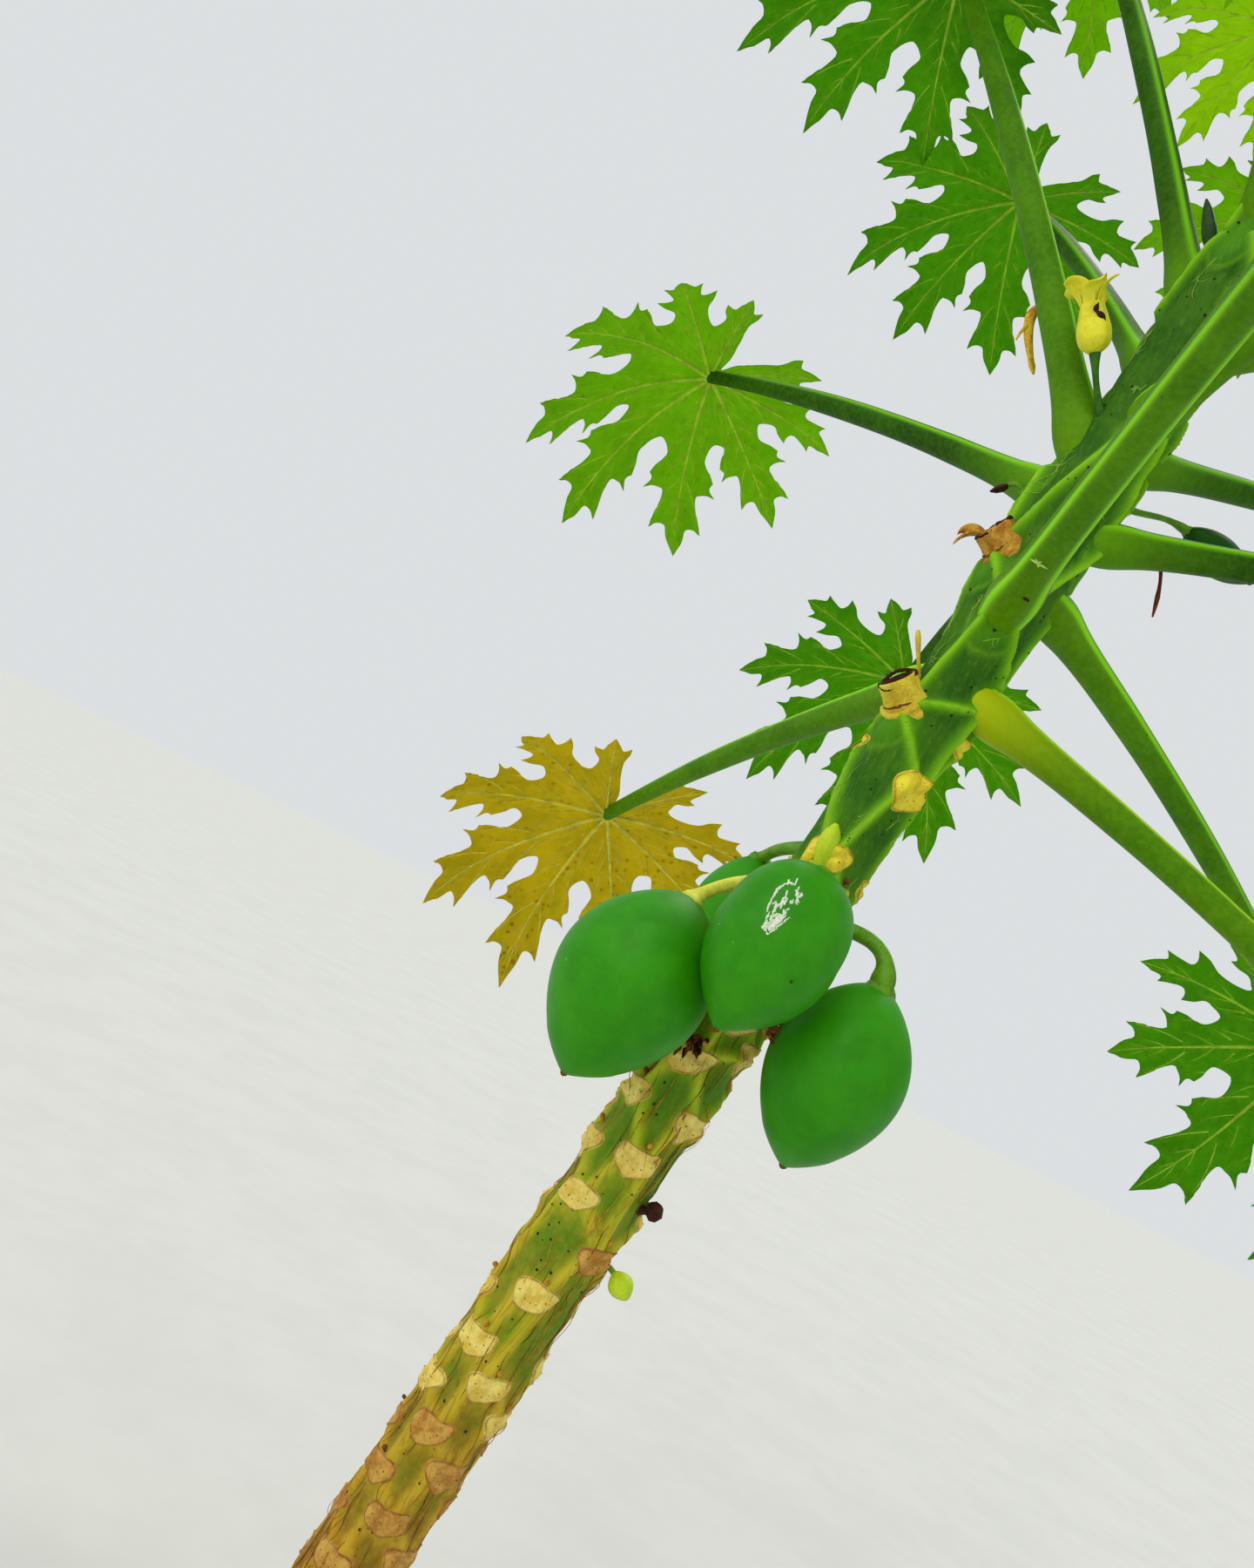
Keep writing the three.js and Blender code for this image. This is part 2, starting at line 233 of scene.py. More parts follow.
def tint(red, green, blue):
    # 0 to 255 as on a screen, turned into the linear values that the sockets take
    values = [v / 255 for v in (red, green, blue)]
    return tuple(v / 12.92 if v < 0.04045 else ((v + 0.055) / 1.055) ** 2.4 for v in values) + (1,)


def newGroup(name, inputs, outputs):
    # a group that takes a place and the numbers in inputs, and gives a number for each output
    group = bpy.data.node_groups.new(name, "ShaderNodeTree")
    group.interface.new_socket("Vector", in_out="INPUT", socket_type="NodeSocketVector")
    for socket, value in inputs.items():
        made = group.interface.new_socket(socket, in_out="INPUT", socket_type="NodeSocketFloat")
        made.default_value = value
    for socket in outputs:
        group.interface.new_socket(socket, in_out="OUTPUT", socket_type="NodeSocketFloat")
    start, end = group.nodes.new("NodeGroupInput"), group.nodes.new("NodeGroupOutput")
    return group, [*start.outputs][:len(inputs) + 1], end.inputs


def node(tree, kind, inputs=(), **settings):
    made = tree.nodes.new(kind)
    for key, value in settings.items():
        setattr(made, key, value)
    for socket, value in dict(inputs).items():
        if isinstance(value, bpy.types.NodeSocket):
            tree.links.new(value, made.inputs[socket])
        else:
            made.inputs[socket].default_value = value
    return made


def mathNode(tree, operation, *values):
    return node(tree, "ShaderNodeMath", dict(enumerate(values)), operation=operation).outputs[0]


def times(tree, a, b):
    return mathNode(tree, "MULTIPLY", a, b)


def mixColour(tree, share, a, b):
    return node(tree, "ShaderNodeMix", {0: share, 6: a, 7: b}, data_type="RGBA").outputs[2]


def layer(tree, colour, over, mask, strength=1.0):
    # another colour laid over this one, as far as the mask says
    return mixColour(tree, times(tree, mask, strength), colour, tint(*over))


def spread(tree, value, low, high):
    # 0 at low, 1 at high, smooth between
    made = node(tree, "ShaderNodeMapRange", {0: value, 1: low, 2: high}, interpolation_type="SMOOTHSTEP")
    return made.outputs[0]


def noise(tree, place, scale, **more):
    return node(tree, "ShaderNodeTexNoise", {"Vector": place, "Scale": scale, **more})


def vectorMath(tree, operation, a, b):
    return node(tree, "ShaderNodeVectorMath", {0: a, 1: b}, operation=operation).outputs[0]


def buildMottle():
    # soft patches in two sizes
    group, (place, scale), ends = newGroup("mottle", {"Scale": 20.0}, ["Mask"])
    coarse = noise(group, place, scale, Detail=3.0)
    fine = noise(group, place, times(group, scale, 4.3), Detail=2.0)
    both = mathNode(group, "ADD", times(group, coarse.outputs[0], 0.65), times(group, fine.outputs[0], 0.35))
    group.links.new(spread(group, both, 0.36, 0.64), ends[0])
    return group


def buildSpecks():
    # small round dots, each somewhere in its own cell, in about the share of cells that is asked
    group, (place, scale, size, share), ends = newGroup(
        "specks", {"Scale": 150.0, "Size": 0.2, "Share": 0.3}, ["Mask"])
    cells = node(group, "ShaderNodeTexVoronoi", {"Vector": place, "Scale": scale})
    pick = node(group, "ShaderNodeSeparateColor", {0: cells.outputs["Color"]})
    chosen = mathNode(group, "LESS_THAN", pick.outputs[0], share)
    outer = times(group, size, mathNode(group, "ADD", pick.outputs[1], 0.4))
    dot = spread(group, cells.outputs["Distance"], outer, times(group, outer, 0.6))
    group.links.new(times(group, dot, chosen), ends[0])
    return group


def buildStreaks():
    # fibres along the height, as a mask and as a height for a bump
    group, (place, across, along), ends = newGroup(
        "streaks", {"Across": 160.0, "Along": 12.0}, ["Mask", "Height"])
    sizes = node(group, "ShaderNodeCombineXYZ", {0: across, 1: across, 2: along}).outputs[0]
    stretched = vectorMath(group, "MULTIPLY", place, sizes)
    strands = noise(group, stretched, 1.0, Detail=4.0, Roughness=0.6, Distortion=0.6)
    group.links.new(spread(group, strands.outputs[0], 0.46, 0.66), ends[0])
    group.links.new(strands.outputs[0], ends[1])
    return group


def buildNet():
    # the fine net of veinlets: pale lines between puffed cells
    group, (place, scale), ends = newGroup("veinNet", {"Scale": 110.0}, ["Line", "Height"])
    sway = noise(group, place, 40.0, Detail=1.0).outputs["Color"]
    moved = vectorMath(group, "ADD", place, vectorMath(group, "MULTIPLY", sway, (0.006,) * 3))
    cells = node(group, "ShaderNodeTexVoronoi", {"Vector": moved, "Scale": scale}, feature="DISTANCE_TO_EDGE")
    group.links.new(spread(group, cells.outputs[0], 0.09, 0.02), ends[0])
    group.links.new(spread(group, cells.outputs[0], 0.0, 0.3), ends[1])
    return group


groups = {"mottle": buildMottle(), "specks": buildSpecks(), "streaks": buildStreaks(), "veinNet": buildNet()}


def useGroup(tree, name, inputs):
    return node(tree, "ShaderNodeGroup", inputs, node_tree=groups[name]).outputs


def mottle(tree, place, scale):
    return useGroup(tree, "mottle", {"Vector": place, "Scale": scale})[0]


def specks(tree, place, scale, size, share):
    return useGroup(tree, "specks", {"Vector": place, "Scale": scale, "Size": size, "Share": share})[0]


def streaks(tree, place, across, along):
    return useGroup(tree, "streaks", {"Vector": place, "Across": across, "Along": along})


def newFinish(name, roughness, specular):
    finishes[name] = bpy.data.materials.new(name)
    finishes[name].use_nodes = True
    tree = finishes[name].node_tree
    shader = tree.nodes["Principled BSDF"]
    shader.inputs["Roughness"].default_value = roughness
    shader.inputs["Specular IOR Level"].default_value = specular
    return tree, shader, tree.nodes.new("ShaderNodeTexCoord").outputs["Object"]


def paint(tree, shader, colour, height, strength, distance):
    # the colour, and a bump from the height
    tree.links.new(colour, shader.inputs["Base Color"])
    bump = node(tree, "ShaderNodeBump", {"Height": height, "Strength": strength, "Distance": distance})
    tree.links.new(bump.outputs[0], shader.inputs["Normal"])


def patchy(tree, place, scale, body, dark):
    # a colour with soft darker patches, and the patches themselves
    patches = mottle(tree, place, scale)
    return mixColour(tree, patches, tint(*body), tint(*dark)), patches


def mask(tree, name):
    return node(tree, "ShaderNodeAttribute", attribute_name=name).outputs["Fac"]


# The leaf spiral, by the same rule as the solids

spiral = {
    "count": 26,
    "firstHeight": 1.400,
    "spacing": 0.027,
    "start": -25,
    "turn": 137.5,
    "lowestRise": -25,
    "riseRange": 92,
    "riseEase": 0.8,
    "youngGirth": 0.5,
    "longestStalk": 0.750,
    "stalkShortening": 0.440,
    "widestBlade": 0.365,
    "bladeShrink": 0.215,
    "shrinkEase": 2.2,
    "shed": (4, 5, 7, 15, 23),
}
# Leaves that stand a little off the even spiral
settled = {
    0: dict(azimuth=-16, rise=-23, height=1.418, reach=0.760),
    2: dict(azimuth=-95, rise=8, height=1.488, reach=0.920),
    3: dict(azimuth=24, rise=-21, height=1.552, reach=0.750),
    6: dict(azimuth=86, rise=2, height=1.592, reach=0.730),
    8: dict(azimuth=-2, rise=13, height=1.603, reach=0.740),
    10: dict(azimuth=-75, rise=21, height=1.722, reach=0.720),
    11: dict(azimuth=26, rise=19, height=1.702, reach=0.720),
    12: dict(azimuth=159, rise=57, height=1.668, reach=0.730, girth=1.2),
    13: dict(azimuth=-46, rise=46, height=1.758, reach=0.650),
    14: dict(azimuth=111, rise=44, height=1.790, reach=0.680),
    16: dict(azimuth=2, rise=26, height=1.828, reach=0.640),
    17: dict(azimuth=144, rise=61, height=1.862, reach=0.700, girth=1.2),
    18: dict(azimuth=-66, rise=62, height=1.900, reach=0.560),
    20: dict(azimuth=-130, rise=56, height=1.952, reach=0.500),
    21: dict(azimuth=-10, rise=60, height=1.967, reach=0.450, radius=0.185),
    22: dict(azimuth=100, rise=66, height=1.994, reach=0.440),
    24: dict(azimuth=52, rise=73, height=2.048, reach=0.350, radius=0.150),
}


def leafPlan(index):
    age = index / (spiral["count"] - 1)
    plan = {
        "index": index,
        "azimuth": spiral["start"] + spiral["turn"] * index,
        "rise": spiral["lowestRise"] + spiral["riseRange"] * age ** spiral["riseEase"],
        "height": spiral["firstHeight"] + spiral["spacing"] * index,
        "reach": spiral["longestStalk"] - spiral["stalkShortening"] * age**2,
        "radius": spiral["widestBlade"] - spiral["bladeShrink"] * age ** spiral["shrinkEase"],
        "vigour": 1 - spiral["youngGirth"] * age**2,
        "girth": 1.0,
    }
    plan.update(settled.get(index, {}))
    return plan


leaves = [leafPlan(i) for i in range(spiral["count"]) if i not in spiral["shed"]]


# Trunk

trunk = {
    "height": 2.200,
    "lean": (0.15, -0.1277),
    "footSweep": 0.024,
    "footSweepHeight": 0.150,
    "radii": [(0, 0.096), (0.035, 0.078), (0.09, 0.063), (0.18, 0.054), (0.35, 0.050), (0.6, 0.048),
              (0.9, 0.047), (1.15, 0.042), (1.4, 0.043), (1.6, 0.046), (1.8, 0.046), (1.95, 0.042),
              (2.06, 0.034), (2.14, 0.023), (2.2, 0.009)],
    "rows": 540,
    "columns": 108,
    "ridge": 0.0034,  # height of the raised lines that run down from each leaf base
    "ridgeWidth": 0.0038,
    "ridgeDrop": (0.022, 0.17),  # how far below and beside it the next leaf base may be
    "ridgeAcross": (0.012, 0.085),
    # how far beside the upper base a line starts, and above and beside the lower one it ends
    "ridgeEnds": (0.015, 0.012, 0.008),
    "hollow": 0.0056,  # depth of the facets between them
    "hollowWidth": 0.0082,
    "swelling": (0.008, 0.021, 0.040, 0.020),  # under a stalk: height, half width, reach down and up
    "collar": 0.0006,  # the raised line round the foot of each stalk
    "collarHalf": (0.033, 0.038),
    "scarSwelling": (0.0040, 0.025, 0.021),
    # how strong the relief is at each height
    "freshness": [(0, 0.25), (0.3, 0.35), (0.6, 0.6), (0.9, 0.85), (1.2, 1.0), (2.0, 1.0), (2.2, 0.4)],
    "footFolds": 5,
    "footFoldDepth": 0.007,
    "footFoldHeight": 0.07,
    "waviness": (0.00022, 0.00025),  # along the trunk and round it
    # a raised band across the front: height, azimuth, where it starts, its drop and reach
    "bands": [(1.398, -20, -0.008, -0.024, -0.084)],
    "seed": 11,
}
# Old leaf scars: a second spiral from the lower stub down to the foot. Steps and heights.
scarSpiral = {
    "first": 1,
    "last": 98,
    "azimuth": -136,
    "turn": 137.5,
    "heights": [(0, 1.382), (3, 1.291), (8, 1.191), (29, 0.947), (34, 0.893), (55, 0.593), (99, 0.035)],
    # scars that stand off the even spiral, and those that have grown over
    "settled": {3: (1.291, -54), 8: (1.191, -111), 29: (0.947, -107), 32: (0.882, -46), 34: (0.893, -147),
                37: (0.829, -87), 42: (0.772, -128), 45: (0.718, -52), 50: (0.660, -98), 55: (0.593, -131)},
    "closed": (5, 6, 7, 35, 40, 47, 48, 53),
    "width": 0.049,
    "tall": 0.040,
    "broad": {8: 1.25, 3: 1.1, 29: 1.1, 37: 1.1},
    "seed": 5,
}
stubs = {"stub_lower": (1.360, -152, 0.082, 0.020), "stub_upper": (1.553, -174, 0.080, 0.020)}


def trunkMiddle(height):
    h = np.asarray(height, float)
    sweepBack = trunk["footSweep"] * (1 - np.exp(-h / trunk["footSweepHeight"]))
    return np.stack([trunk["lean"][0] * h - sweepBack, trunk["lean"][1] * h, h], -1)


def wrap(degrees):
    return (np.asarray(degrees) + 180) % 360 - 180


def scarHeight(step):
    places, heights = np.array(scarSpiral["heights"]).T
    return float(np.interp(step, places, heights))


def scarPlace(step):
    even = (scarHeight(step), float(wrap(scarSpiral["azimuth"] + scarSpiral["turn"] * step)))
    return scarSpiral["settled"].get(step, even) + (step,)


scars = [scarPlace(k) for k in range(scarSpiral["first"], scarSpiral["last"] + 1)
         if k not in scarSpiral["closed"]]
stalkSites = [(leaf["height"], float(wrap(leaf["azimuth"])), leaf["vigour"]) for leaf in leaves]
stalkSites += [(height, azimuth, 1.0) for height, azimuth, reach, radius in stubs.values()]
sites = sorted([(h, a) for h, a, k in scars] + [(h, a) for h, a, v in stalkSites])


def ridgeLines():
    # from each leaf base to the nearest lower one on its left and on its right
    (nearestDrop, farthestDrop), (nearestAcross, farthestAcross) = trunk["ridgeDrop"], trunk["ridgeAcross"]
    beside, above, short = trunk["ridgeEnds"]
    lines = []
    for height, azimuth in sites:
        girth = float(smoothTable(trunk["radii"], height))
        best = {}
        for lower, other in sites:
            drop, across = height - lower, math.radians(float(wrap(other - azimuth))) * girth
            if nearestDrop < drop < farthestDrop and nearestAcross < abs(across) < farthestAcross:
                hand = across > 0
                far = math.hypot(drop, across)
                if hand not in best or far < best[hand][0]:
                    best[hand] = (far, lower, across)
        for hand, (far, lower, across) in best.items():
            lean = 1 if hand else -1
            lines.append((height, azimuth, lean * beside, lower - height + above, across - lean * short))
    return lines + trunk["bands"]


def makeRelief():
    heights = np.linspace(0, trunk["height"], trunk["rows"])
    azimuths = np.arange(trunk["columns"]) * 360 / trunk["columns"]
    base = smoothTable(trunk["radii"], heights)[:, None] * np.ones((1, trunk["columns"]))

    def offsets(height, azimuth, rows=slice(None)):
        # how far the grid's points are beside and above a place on the bark
        beside = np.radians(wrap(azimuths[None, :] - azimuth)) * base[rows]
        return beside, heights[rows][:, None] - height

    nearest = np.full(base.shape, 1.0)
    for height, azimuth, start, drop, across in ridgeLines():
        rows = np.abs(heights - height - drop / 2) < abs(drop) / 2 + 0.05
        u, v = offsets(height, azimuth, rows)
        du, dv = across - start, drop
        share = np.clip(((u - start) * du + v * dv) / (du * du + dv * dv), 0, 1)
        nearest[rows] = np.minimum(nearest[rows], np.hypot(u - start - share * du, v - share * dv))
    fresh = smoothTable(trunk["freshness"], heights)[:, None]
    # ridge and hollow shape the relief and also go on as colour masks: the hollows take a darker, greener
    # colour that is partly their own and partly painted shade, the ridges a paler one that is partly their
    # own and partly a painted highlight
    ridge = np.exp(-(nearest / trunk["ridgeWidth"]) ** 2)
    hollow = 1 - np.exp(-(nearest / trunk["hollowWidth"]) ** 3)
    relief = fresh * (trunk["ridge"] * ridge - trunk["hollow"] * hollow)
    swelling, broad, down, up = trunk["swelling"]
    collarWide, collarTall = trunk["collarHalf"]
    for height, azimuth, vigour in stalkSites:
        u, v = offsets(height, azimuth)
        v = v + 0.012
        tall = np.where(v < 0, down, up)
        relief += swelling * vigour * np.exp(-(u / broad) ** 2 - (v / tall) ** 2)
        around = np.hypot(u / (collarWide * vigour), (v - 0.010) / collarTall)
        collar = np.exp(-((around - 1) / 0.09) ** 2) * np.clip((0.022 - v) / 0.02, 0, 1)
        relief += trunk["collar"] * vigour * collar
        # each collar takes some of the ridges' paler colour and painted highlight, and the swelling under
        # each stalk loses the hollows' painted shade
        ridge = np.maximum(ridge, 0.25 * collar)
        hollow = hollow * (1 - np.exp(-(around / 0.85) ** 4))
    swelling, broad, up = trunk["scarSwelling"]
    for height, azimuth, step in scars:
        rows = np.abs(heights - height) < 0.08
        u, v = offsets(height, azimuth, rows)
        bump = np.exp(-(u / broad) ** 4 - (v / up) ** 2)
        relief[rows] += swelling * fresh[rows] * bump
        # the scar's swelling loses the hollows' painted shade
        hollow[rows] *= 1 - bump
    angle = np.radians(azimuths)[None, :]
    foot = np.exp(-heights / trunk["footFoldHeight"])[:, None]
    relief += trunk["footFoldDepth"] * foot * np.cos(trunk["footFolds"] * angle + 0.8 * np.sin(angle + 1))
    rng = np.random.default_rng(trunk["seed"])
    lengthwise, crosswise = trunk["waviness"]
    for wave in range(6, 34, 3):
        phase = rng.uniform(0, 6.28) + 2.2 * np.sin(heights[:, None] * rng.uniform(4, 14) + wave)
        relief += lengthwise * np.sin(wave * angle + phase)
    for wave in range(5):
        lift = np.sin(heights[:, None] * rng.uniform(60, 150) + 2 * np.sin(angle + rng.uniform(0, 6.28)))
        relief += crosswise * lift
    return heights, azimuths, base + relief, ridge * fresh, hollow


reliefHeights, reliefAzimuths, reliefRadii, ridgeTintAndHighlightMask, hollowTintAndShadeMask = makeRelief()
print("bark relief made:", reliefRadii.size, "points")


def barkRadius(height, azimuth):
    # the radius of the finished bark, between the grid's points
    row = np.clip(np.asarray(height) / trunk["height"] * (trunk["rows"] - 1), 0, trunk["rows"] - 1.001)
    column = (np.asarray(azimuth) % 360) / 360 * trunk["columns"]
    r, c = row.astype(int), column.astype(int)
    fr, fc = row - r, column - c
    c, d = c % trunk["columns"], (c + 1) % trunk["columns"]
    low = reliefRadii[r, c] * (1 - fc) + reliefRadii[r, d] * fc
    high = reliefRadii[r + 1, c] * (1 - fc) + reliefRadii[r + 1, d] * fc
    return low * (1 - fr) + high * fr


def onBark(height, azimuth, lift=0.0):
    # the places that arrays of heights and azimuths have on the bark
    a = np.radians(azimuth)
    out = np.stack([np.cos(a), np.sin(a), np.zeros_like(a)], -1)
    return trunkMiddle(height) + out * (barkRadius(height, azimuth) + lift)[..., None]


def barkPoint(height, azimuth, lift=0.0):
    return onBark(np.array([height]), np.array([azimuth]), lift)[0]


barkColours = {
    # height in metres: open bark, the hollow facets (darker and greener, partly their own colour and partly
    # painted shade), the raised lines (paler, partly their own colour and partly a painted highlight)
    0.00: ((128, 78, 26), (98, 60, 18), (160, 104, 36)),
    0.30: ((184, 124, 24), (128, 90, 14), (208, 152, 40)),
    0.55: ((188, 170, 18), (96, 116, 6), (216, 190, 44)),
    0.72: ((168, 186, 12), (66, 124, 2), (214, 212, 48)),
    0.92: ((140, 180, 8), (50, 116, 1), (196, 212, 42)),
    1.08: ((100, 162, 6), (44, 106, 0), (158, 206, 28)),
    1.25: ((72, 142, 0), (36, 90, 0), (140, 204, 16)),
    2.20: ((72, 142, 0), (38, 94, 0), (144, 208, 18)),
}


def barkRamp(tree, height, column):
    ramp = node(tree, "ShaderNodeValToRGB", {0: mathNode(tree, "DIVIDE", height, trunk["height"])})
    stops = sorted(barkColours.items())
    for at, colours in stops[1:-1]:
        ramp.color_ramp.elements.new(at / trunk["height"])
    for element, (at, colours) in zip(ramp.color_ramp.elements, stops):
        element.position = at / trunk["height"]
        element.color = tint(*colours[column])
    return ramp.outputs[0]


def barkFinish():
    tree, shader, place = newFinish("bark", 0.7, 0.2)
    height = node(tree, "ShaderNodeSeparateXYZ", {0: place}).outputs[2]
    large = mottle(tree, place, 7.0)
    shifted = mathNode(tree, "ADD", height, times(tree, large, -0.12))
    lines = streaks(tree, place, 150.0, 10.0)
    patches = mottle(tree, place, 30.0)
    # the hollow facets take their darker colour, partly their own and partly painted shade, and the raised
    # lines their paler one, partly their own and partly a painted highlight
    hollow = times(tree, mask(tree, "hollow"), 0.95)
    raised = spread(tree, mask(tree, "hollow"), 1.0, 0.2)
    colour = mixColour(tree, hollow, barkRamp(tree, shifted, 0), barkRamp(tree, shifted, 1))
    ridge = times(tree, mask(tree, "ridge"), 0.95)
    colour = mixColour(tree, ridge, colour, barkRamp(tree, shifted, 2))
    # tan and brown weathering, more of it lower down
    old = spread(tree, shifted, 1.12, 0.55)
    worn = times(tree, old, mathNode(tree, "MULTIPLY_ADD", raised, 0.7, 0.5))
    colour = layer(tree, colour, (214, 186, 50), times(tree, patches, worn), 0.5)
    brown = times(tree, times(tree, lines[0], large), times(tree, worn, old))
    colour = layer(tree, colour, (140, 84, 22), brown, 0.55)
    soft = mottle(tree, place, 18.0)
    soft = times(tree, soft, spread(tree, shifted, 0.15, 0.75))
    colour = layer(tree, colour, (96, 150, 8), soft, 0.3)
    web = streaks(tree, place, 300.0, 46.0)[0]
    fine = mottle(tree, place, 210.0)
    colour = layer(tree, colour, (176, 208, 60), times(tree, web, fine), 0.13)
    dots = specks(tree, place, 150.0, 0.26, 0.15)
    colour = layer(tree, colour, (20, 24, 4), dots, 0.95)
    grain = streaks(tree, place, 320.0, 30.0)
    rough = mathNode(tree, "MULTIPLY_ADD", old, 0.5, 0.12)
    depth = mathNode(tree, "ADD", lines[1], times(tree, grain[1], 0.5))
    depth = mathNode(tree, "SUBTRACT", times(tree, depth, rough), dots)
    paint(tree, shader, colour, depth, 0.4, 0.0012)


def makeTrunk():
    rows, columns = trunk["rows"], trunk["columns"]
    h = np.repeat(reliefHeights, columns)
    a = np.tile(reliefAzimuths, rows)
    points = onBark(np.minimum(h, trunk["height"] * 0.999999), a)
    bundle = newBundle()
    addPart(bundle, closeTube(points, rows, columns, trunkMiddle(0.0), trunkMiddle(trunk["height"] + 0.004)),
            ridge=ridgeTintAndHighlightMask.ravel(), hollow=hollowTintAndShadeMask.ravel())
    makePiece("trunkBark", bundle, ["bark"], ["trunk"])


barkFinish()
makeTrunk()


# Leaf scars, the fibres round them and what is left of old flower stalks

def scarFinish(name, pale, deep, stain):
    tree, shader, place = newFinish(name, 0.62, 0.25)
    colour = patchy(tree, place, 60.0, pale, deep)[0]
    dots = specks(tree, place, 230.0, 0.2, 0.14)
    colour = layer(tree, colour, stain, dots, 0.6)
    broken = mottle(tree, place, 110.0)
    uneven = mathNode(tree, "MULTIPLY_ADD", broken, 0.6, 0.4)
    colour = layer(tree, colour, stain, times(tree, mask(tree, "rim"), uneven))
    paint(tree, shader, colour, broken, 0.4, 0.0008)


def plainFinish(name, pale, deep, roughness, scale, bump):
    tree, shader, place = newFinish(name, roughness, 0.3)
    paint(tree, shader, *patchy(tree, place, scale, pale, deep), bump, 0.0008)


scarTints = {
    # the scar's colour, its darker patches, its stains
    "scarFresh": ((246, 230, 62), (226, 194, 30), (132, 96, 22)),
    "scarCream": ((242, 222, 118), (220, 186, 70), (134, 84, 30)),
    "scarOld": ((212, 168, 76), (176, 118, 40), (112, 66, 24)),
    "stubTan": ((232, 212, 62), (206, 170, 36), (120, 74, 20)),
}
plainTints = {
    # the colour, its darker patches, roughness, how fine the patches are, bump
    "corkBrown": ((140, 84, 24), (88, 46, 16), 0.85, 180.0, 0.5),
    "dryStraw": ((214, 164, 56), (168, 104, 28), 0.8, 90.0, 0.4),
    "darkCork": ((74, 34, 14), (40, 18, 8), 0.9, 200.0, 0.5),
    "webPale": ((196, 222, 110), (150, 196, 60), 0.7, 90.0, 0.2),
    "fruitStalkGreen": ((106, 160, 8), (76, 132, 4), 0.5, 70.0, 0.2),
    "fruitStalkPale": ((240, 234, 96), (208, 208, 50), 0.5, 70.0, 0.2),
    "latexWhite": ((246, 250, 232), (214, 232, 196), 0.4, 300.0, 0.3),
    "petalYellow": ((248, 240, 60), (230, 218, 22), 0.5, 60.0, 0.12),
    "petalWarm": ((244, 206, 40), (206, 136, 24), 0.6, 90.0, 0.3),
    "budGreen": ((38, 80, 8), (24, 58, 6), 0.5, 80.0, 0.2),
    "calyxGreen": ((60, 116, 10), (40, 92, 6), 0.5, 80.0, 0.2),
    "budPale": ((206, 226, 40), (176, 210, 24), 0.5, 60.0, 0.15),
    "dryRed": ((140, 52, 22), (96, 34, 14), 0.8, 120.0, 0.4),
    "leafTender": ((128, 186, 22), (92, 160, 14), 0.5, 40.0, 0.2),
}
for finishName, tints in scarTints.items():
    scarFinish(finishName, *tints)
for finishName, tints in plainTints.items():
    plainFinish(finishName, *tints)

scarRings = {
    "rings": 13,
    "points": 48,
    "lift": 0.0006,
    "dome": 0.0014,
    "rim": 0.0012,
    "rimAt": 0.95,  # share of the way from the middle to the edge
    "rimWidth": 0.045,
    "uneven": 0.035,
    "spots": 5,  # the ends of the leaf's vessels
    "brown": (45,),
}


def scarOutline(angle, width, tall, notch, taper, skew):
    # a shield: broad and notched at the top, narrower towards the foot
    dip = notch * np.exp(-(np.minimum(angle, 2 * math.pi - angle) / 0.42) ** 2)
    up = 0.5 * tall * (np.cos(angle) - dip + 0.16 * np.sin(angle) ** 2)
    across = 0.5 * width * np.sin(angle) * (1 + taper * np.cos(angle)) + skew * up
    return across, up


def addScar(bundle, height, azimuth, width, tall, face, rng):
    rings, count = scarRings["rings"], scarRings["points"]
    angle = ringAngles(count)
    wobble = 1 + sum(scarRings["uneven"] * np.sin(n * angle + rng.uniform(0, 6)) for n in (2, 3, 5))
    across, up = scarOutline(angle, width, tall, rng.uniform(0.05, 0.34), rng.uniform(0.1, 0.42),
                             rng.uniform(-0.2, 0.2))
    share = np.concatenate([np.linspace(0.06, 0.84, rings - 5), [0.89, 0.93, 0.97, 1.02, 1.09]])[:, None]
    rim = np.exp(-((share - scarRings["rimAt"]) / scarRings["rimWidth"]) ** 2) * np.ones((1, count))
    lift = scarRings["lift"] + scarRings["dome"] * (1 - share**2) + scarRings["rim"] * rim
    lift = lift - 0.004 * np.clip(share - 1.0, 0, 1) / 0.1 + rng.normal(0, 0.0001, (rings, count))
    girth = float(smoothTable(trunk["radii"], height))
    u, v = (across * wobble)[None, :] * share, (up * wobble)[None, :] * share
    points = onBark(np.maximum(height + v, 0.001), azimuth + np.degrees(u / girth), lift).reshape(-1, 3)
    middle = barkPoint(height, azimuth, scarRings["lift"] + scarRings["dome"])
    walk = np.arange(count)
    fan = np.stack([(walk + 1) % count, walk, np.full(count, rings * count)], -1)[:, ::-1]
    addPart(bundle, (np.vstack([points, middle]), [fan, ringFaces(rings, count)[:, ::-1]]), face,
            rim=np.append(rim, 0))
    # the ends of the leaf's vessels, in a curve across the scar
    for place in np.linspace(-1, 1, scarRings["spots"]):
        spotU = 0.28 * width * place + rng.normal(0, 0.001)
        spotV = 0.06 * tall - 0.25 * tall * (1 - place**2) + rng.normal(0, 0.001)
        spot = barkPoint(max(height + spotV, 0.002), azimuth + math.degrees(spotU / girth))
        addPart(bundle, turned(spot, direction(azimuth, 0), [(0.0004, 0.0010), (0.0021, 0.0006)], 6), 3)


remains = {"seed": 21, "share": 0.62, "fromHeight": 0.42, "none": (3, 8), "tuftOn": 29, "tufts": 16}


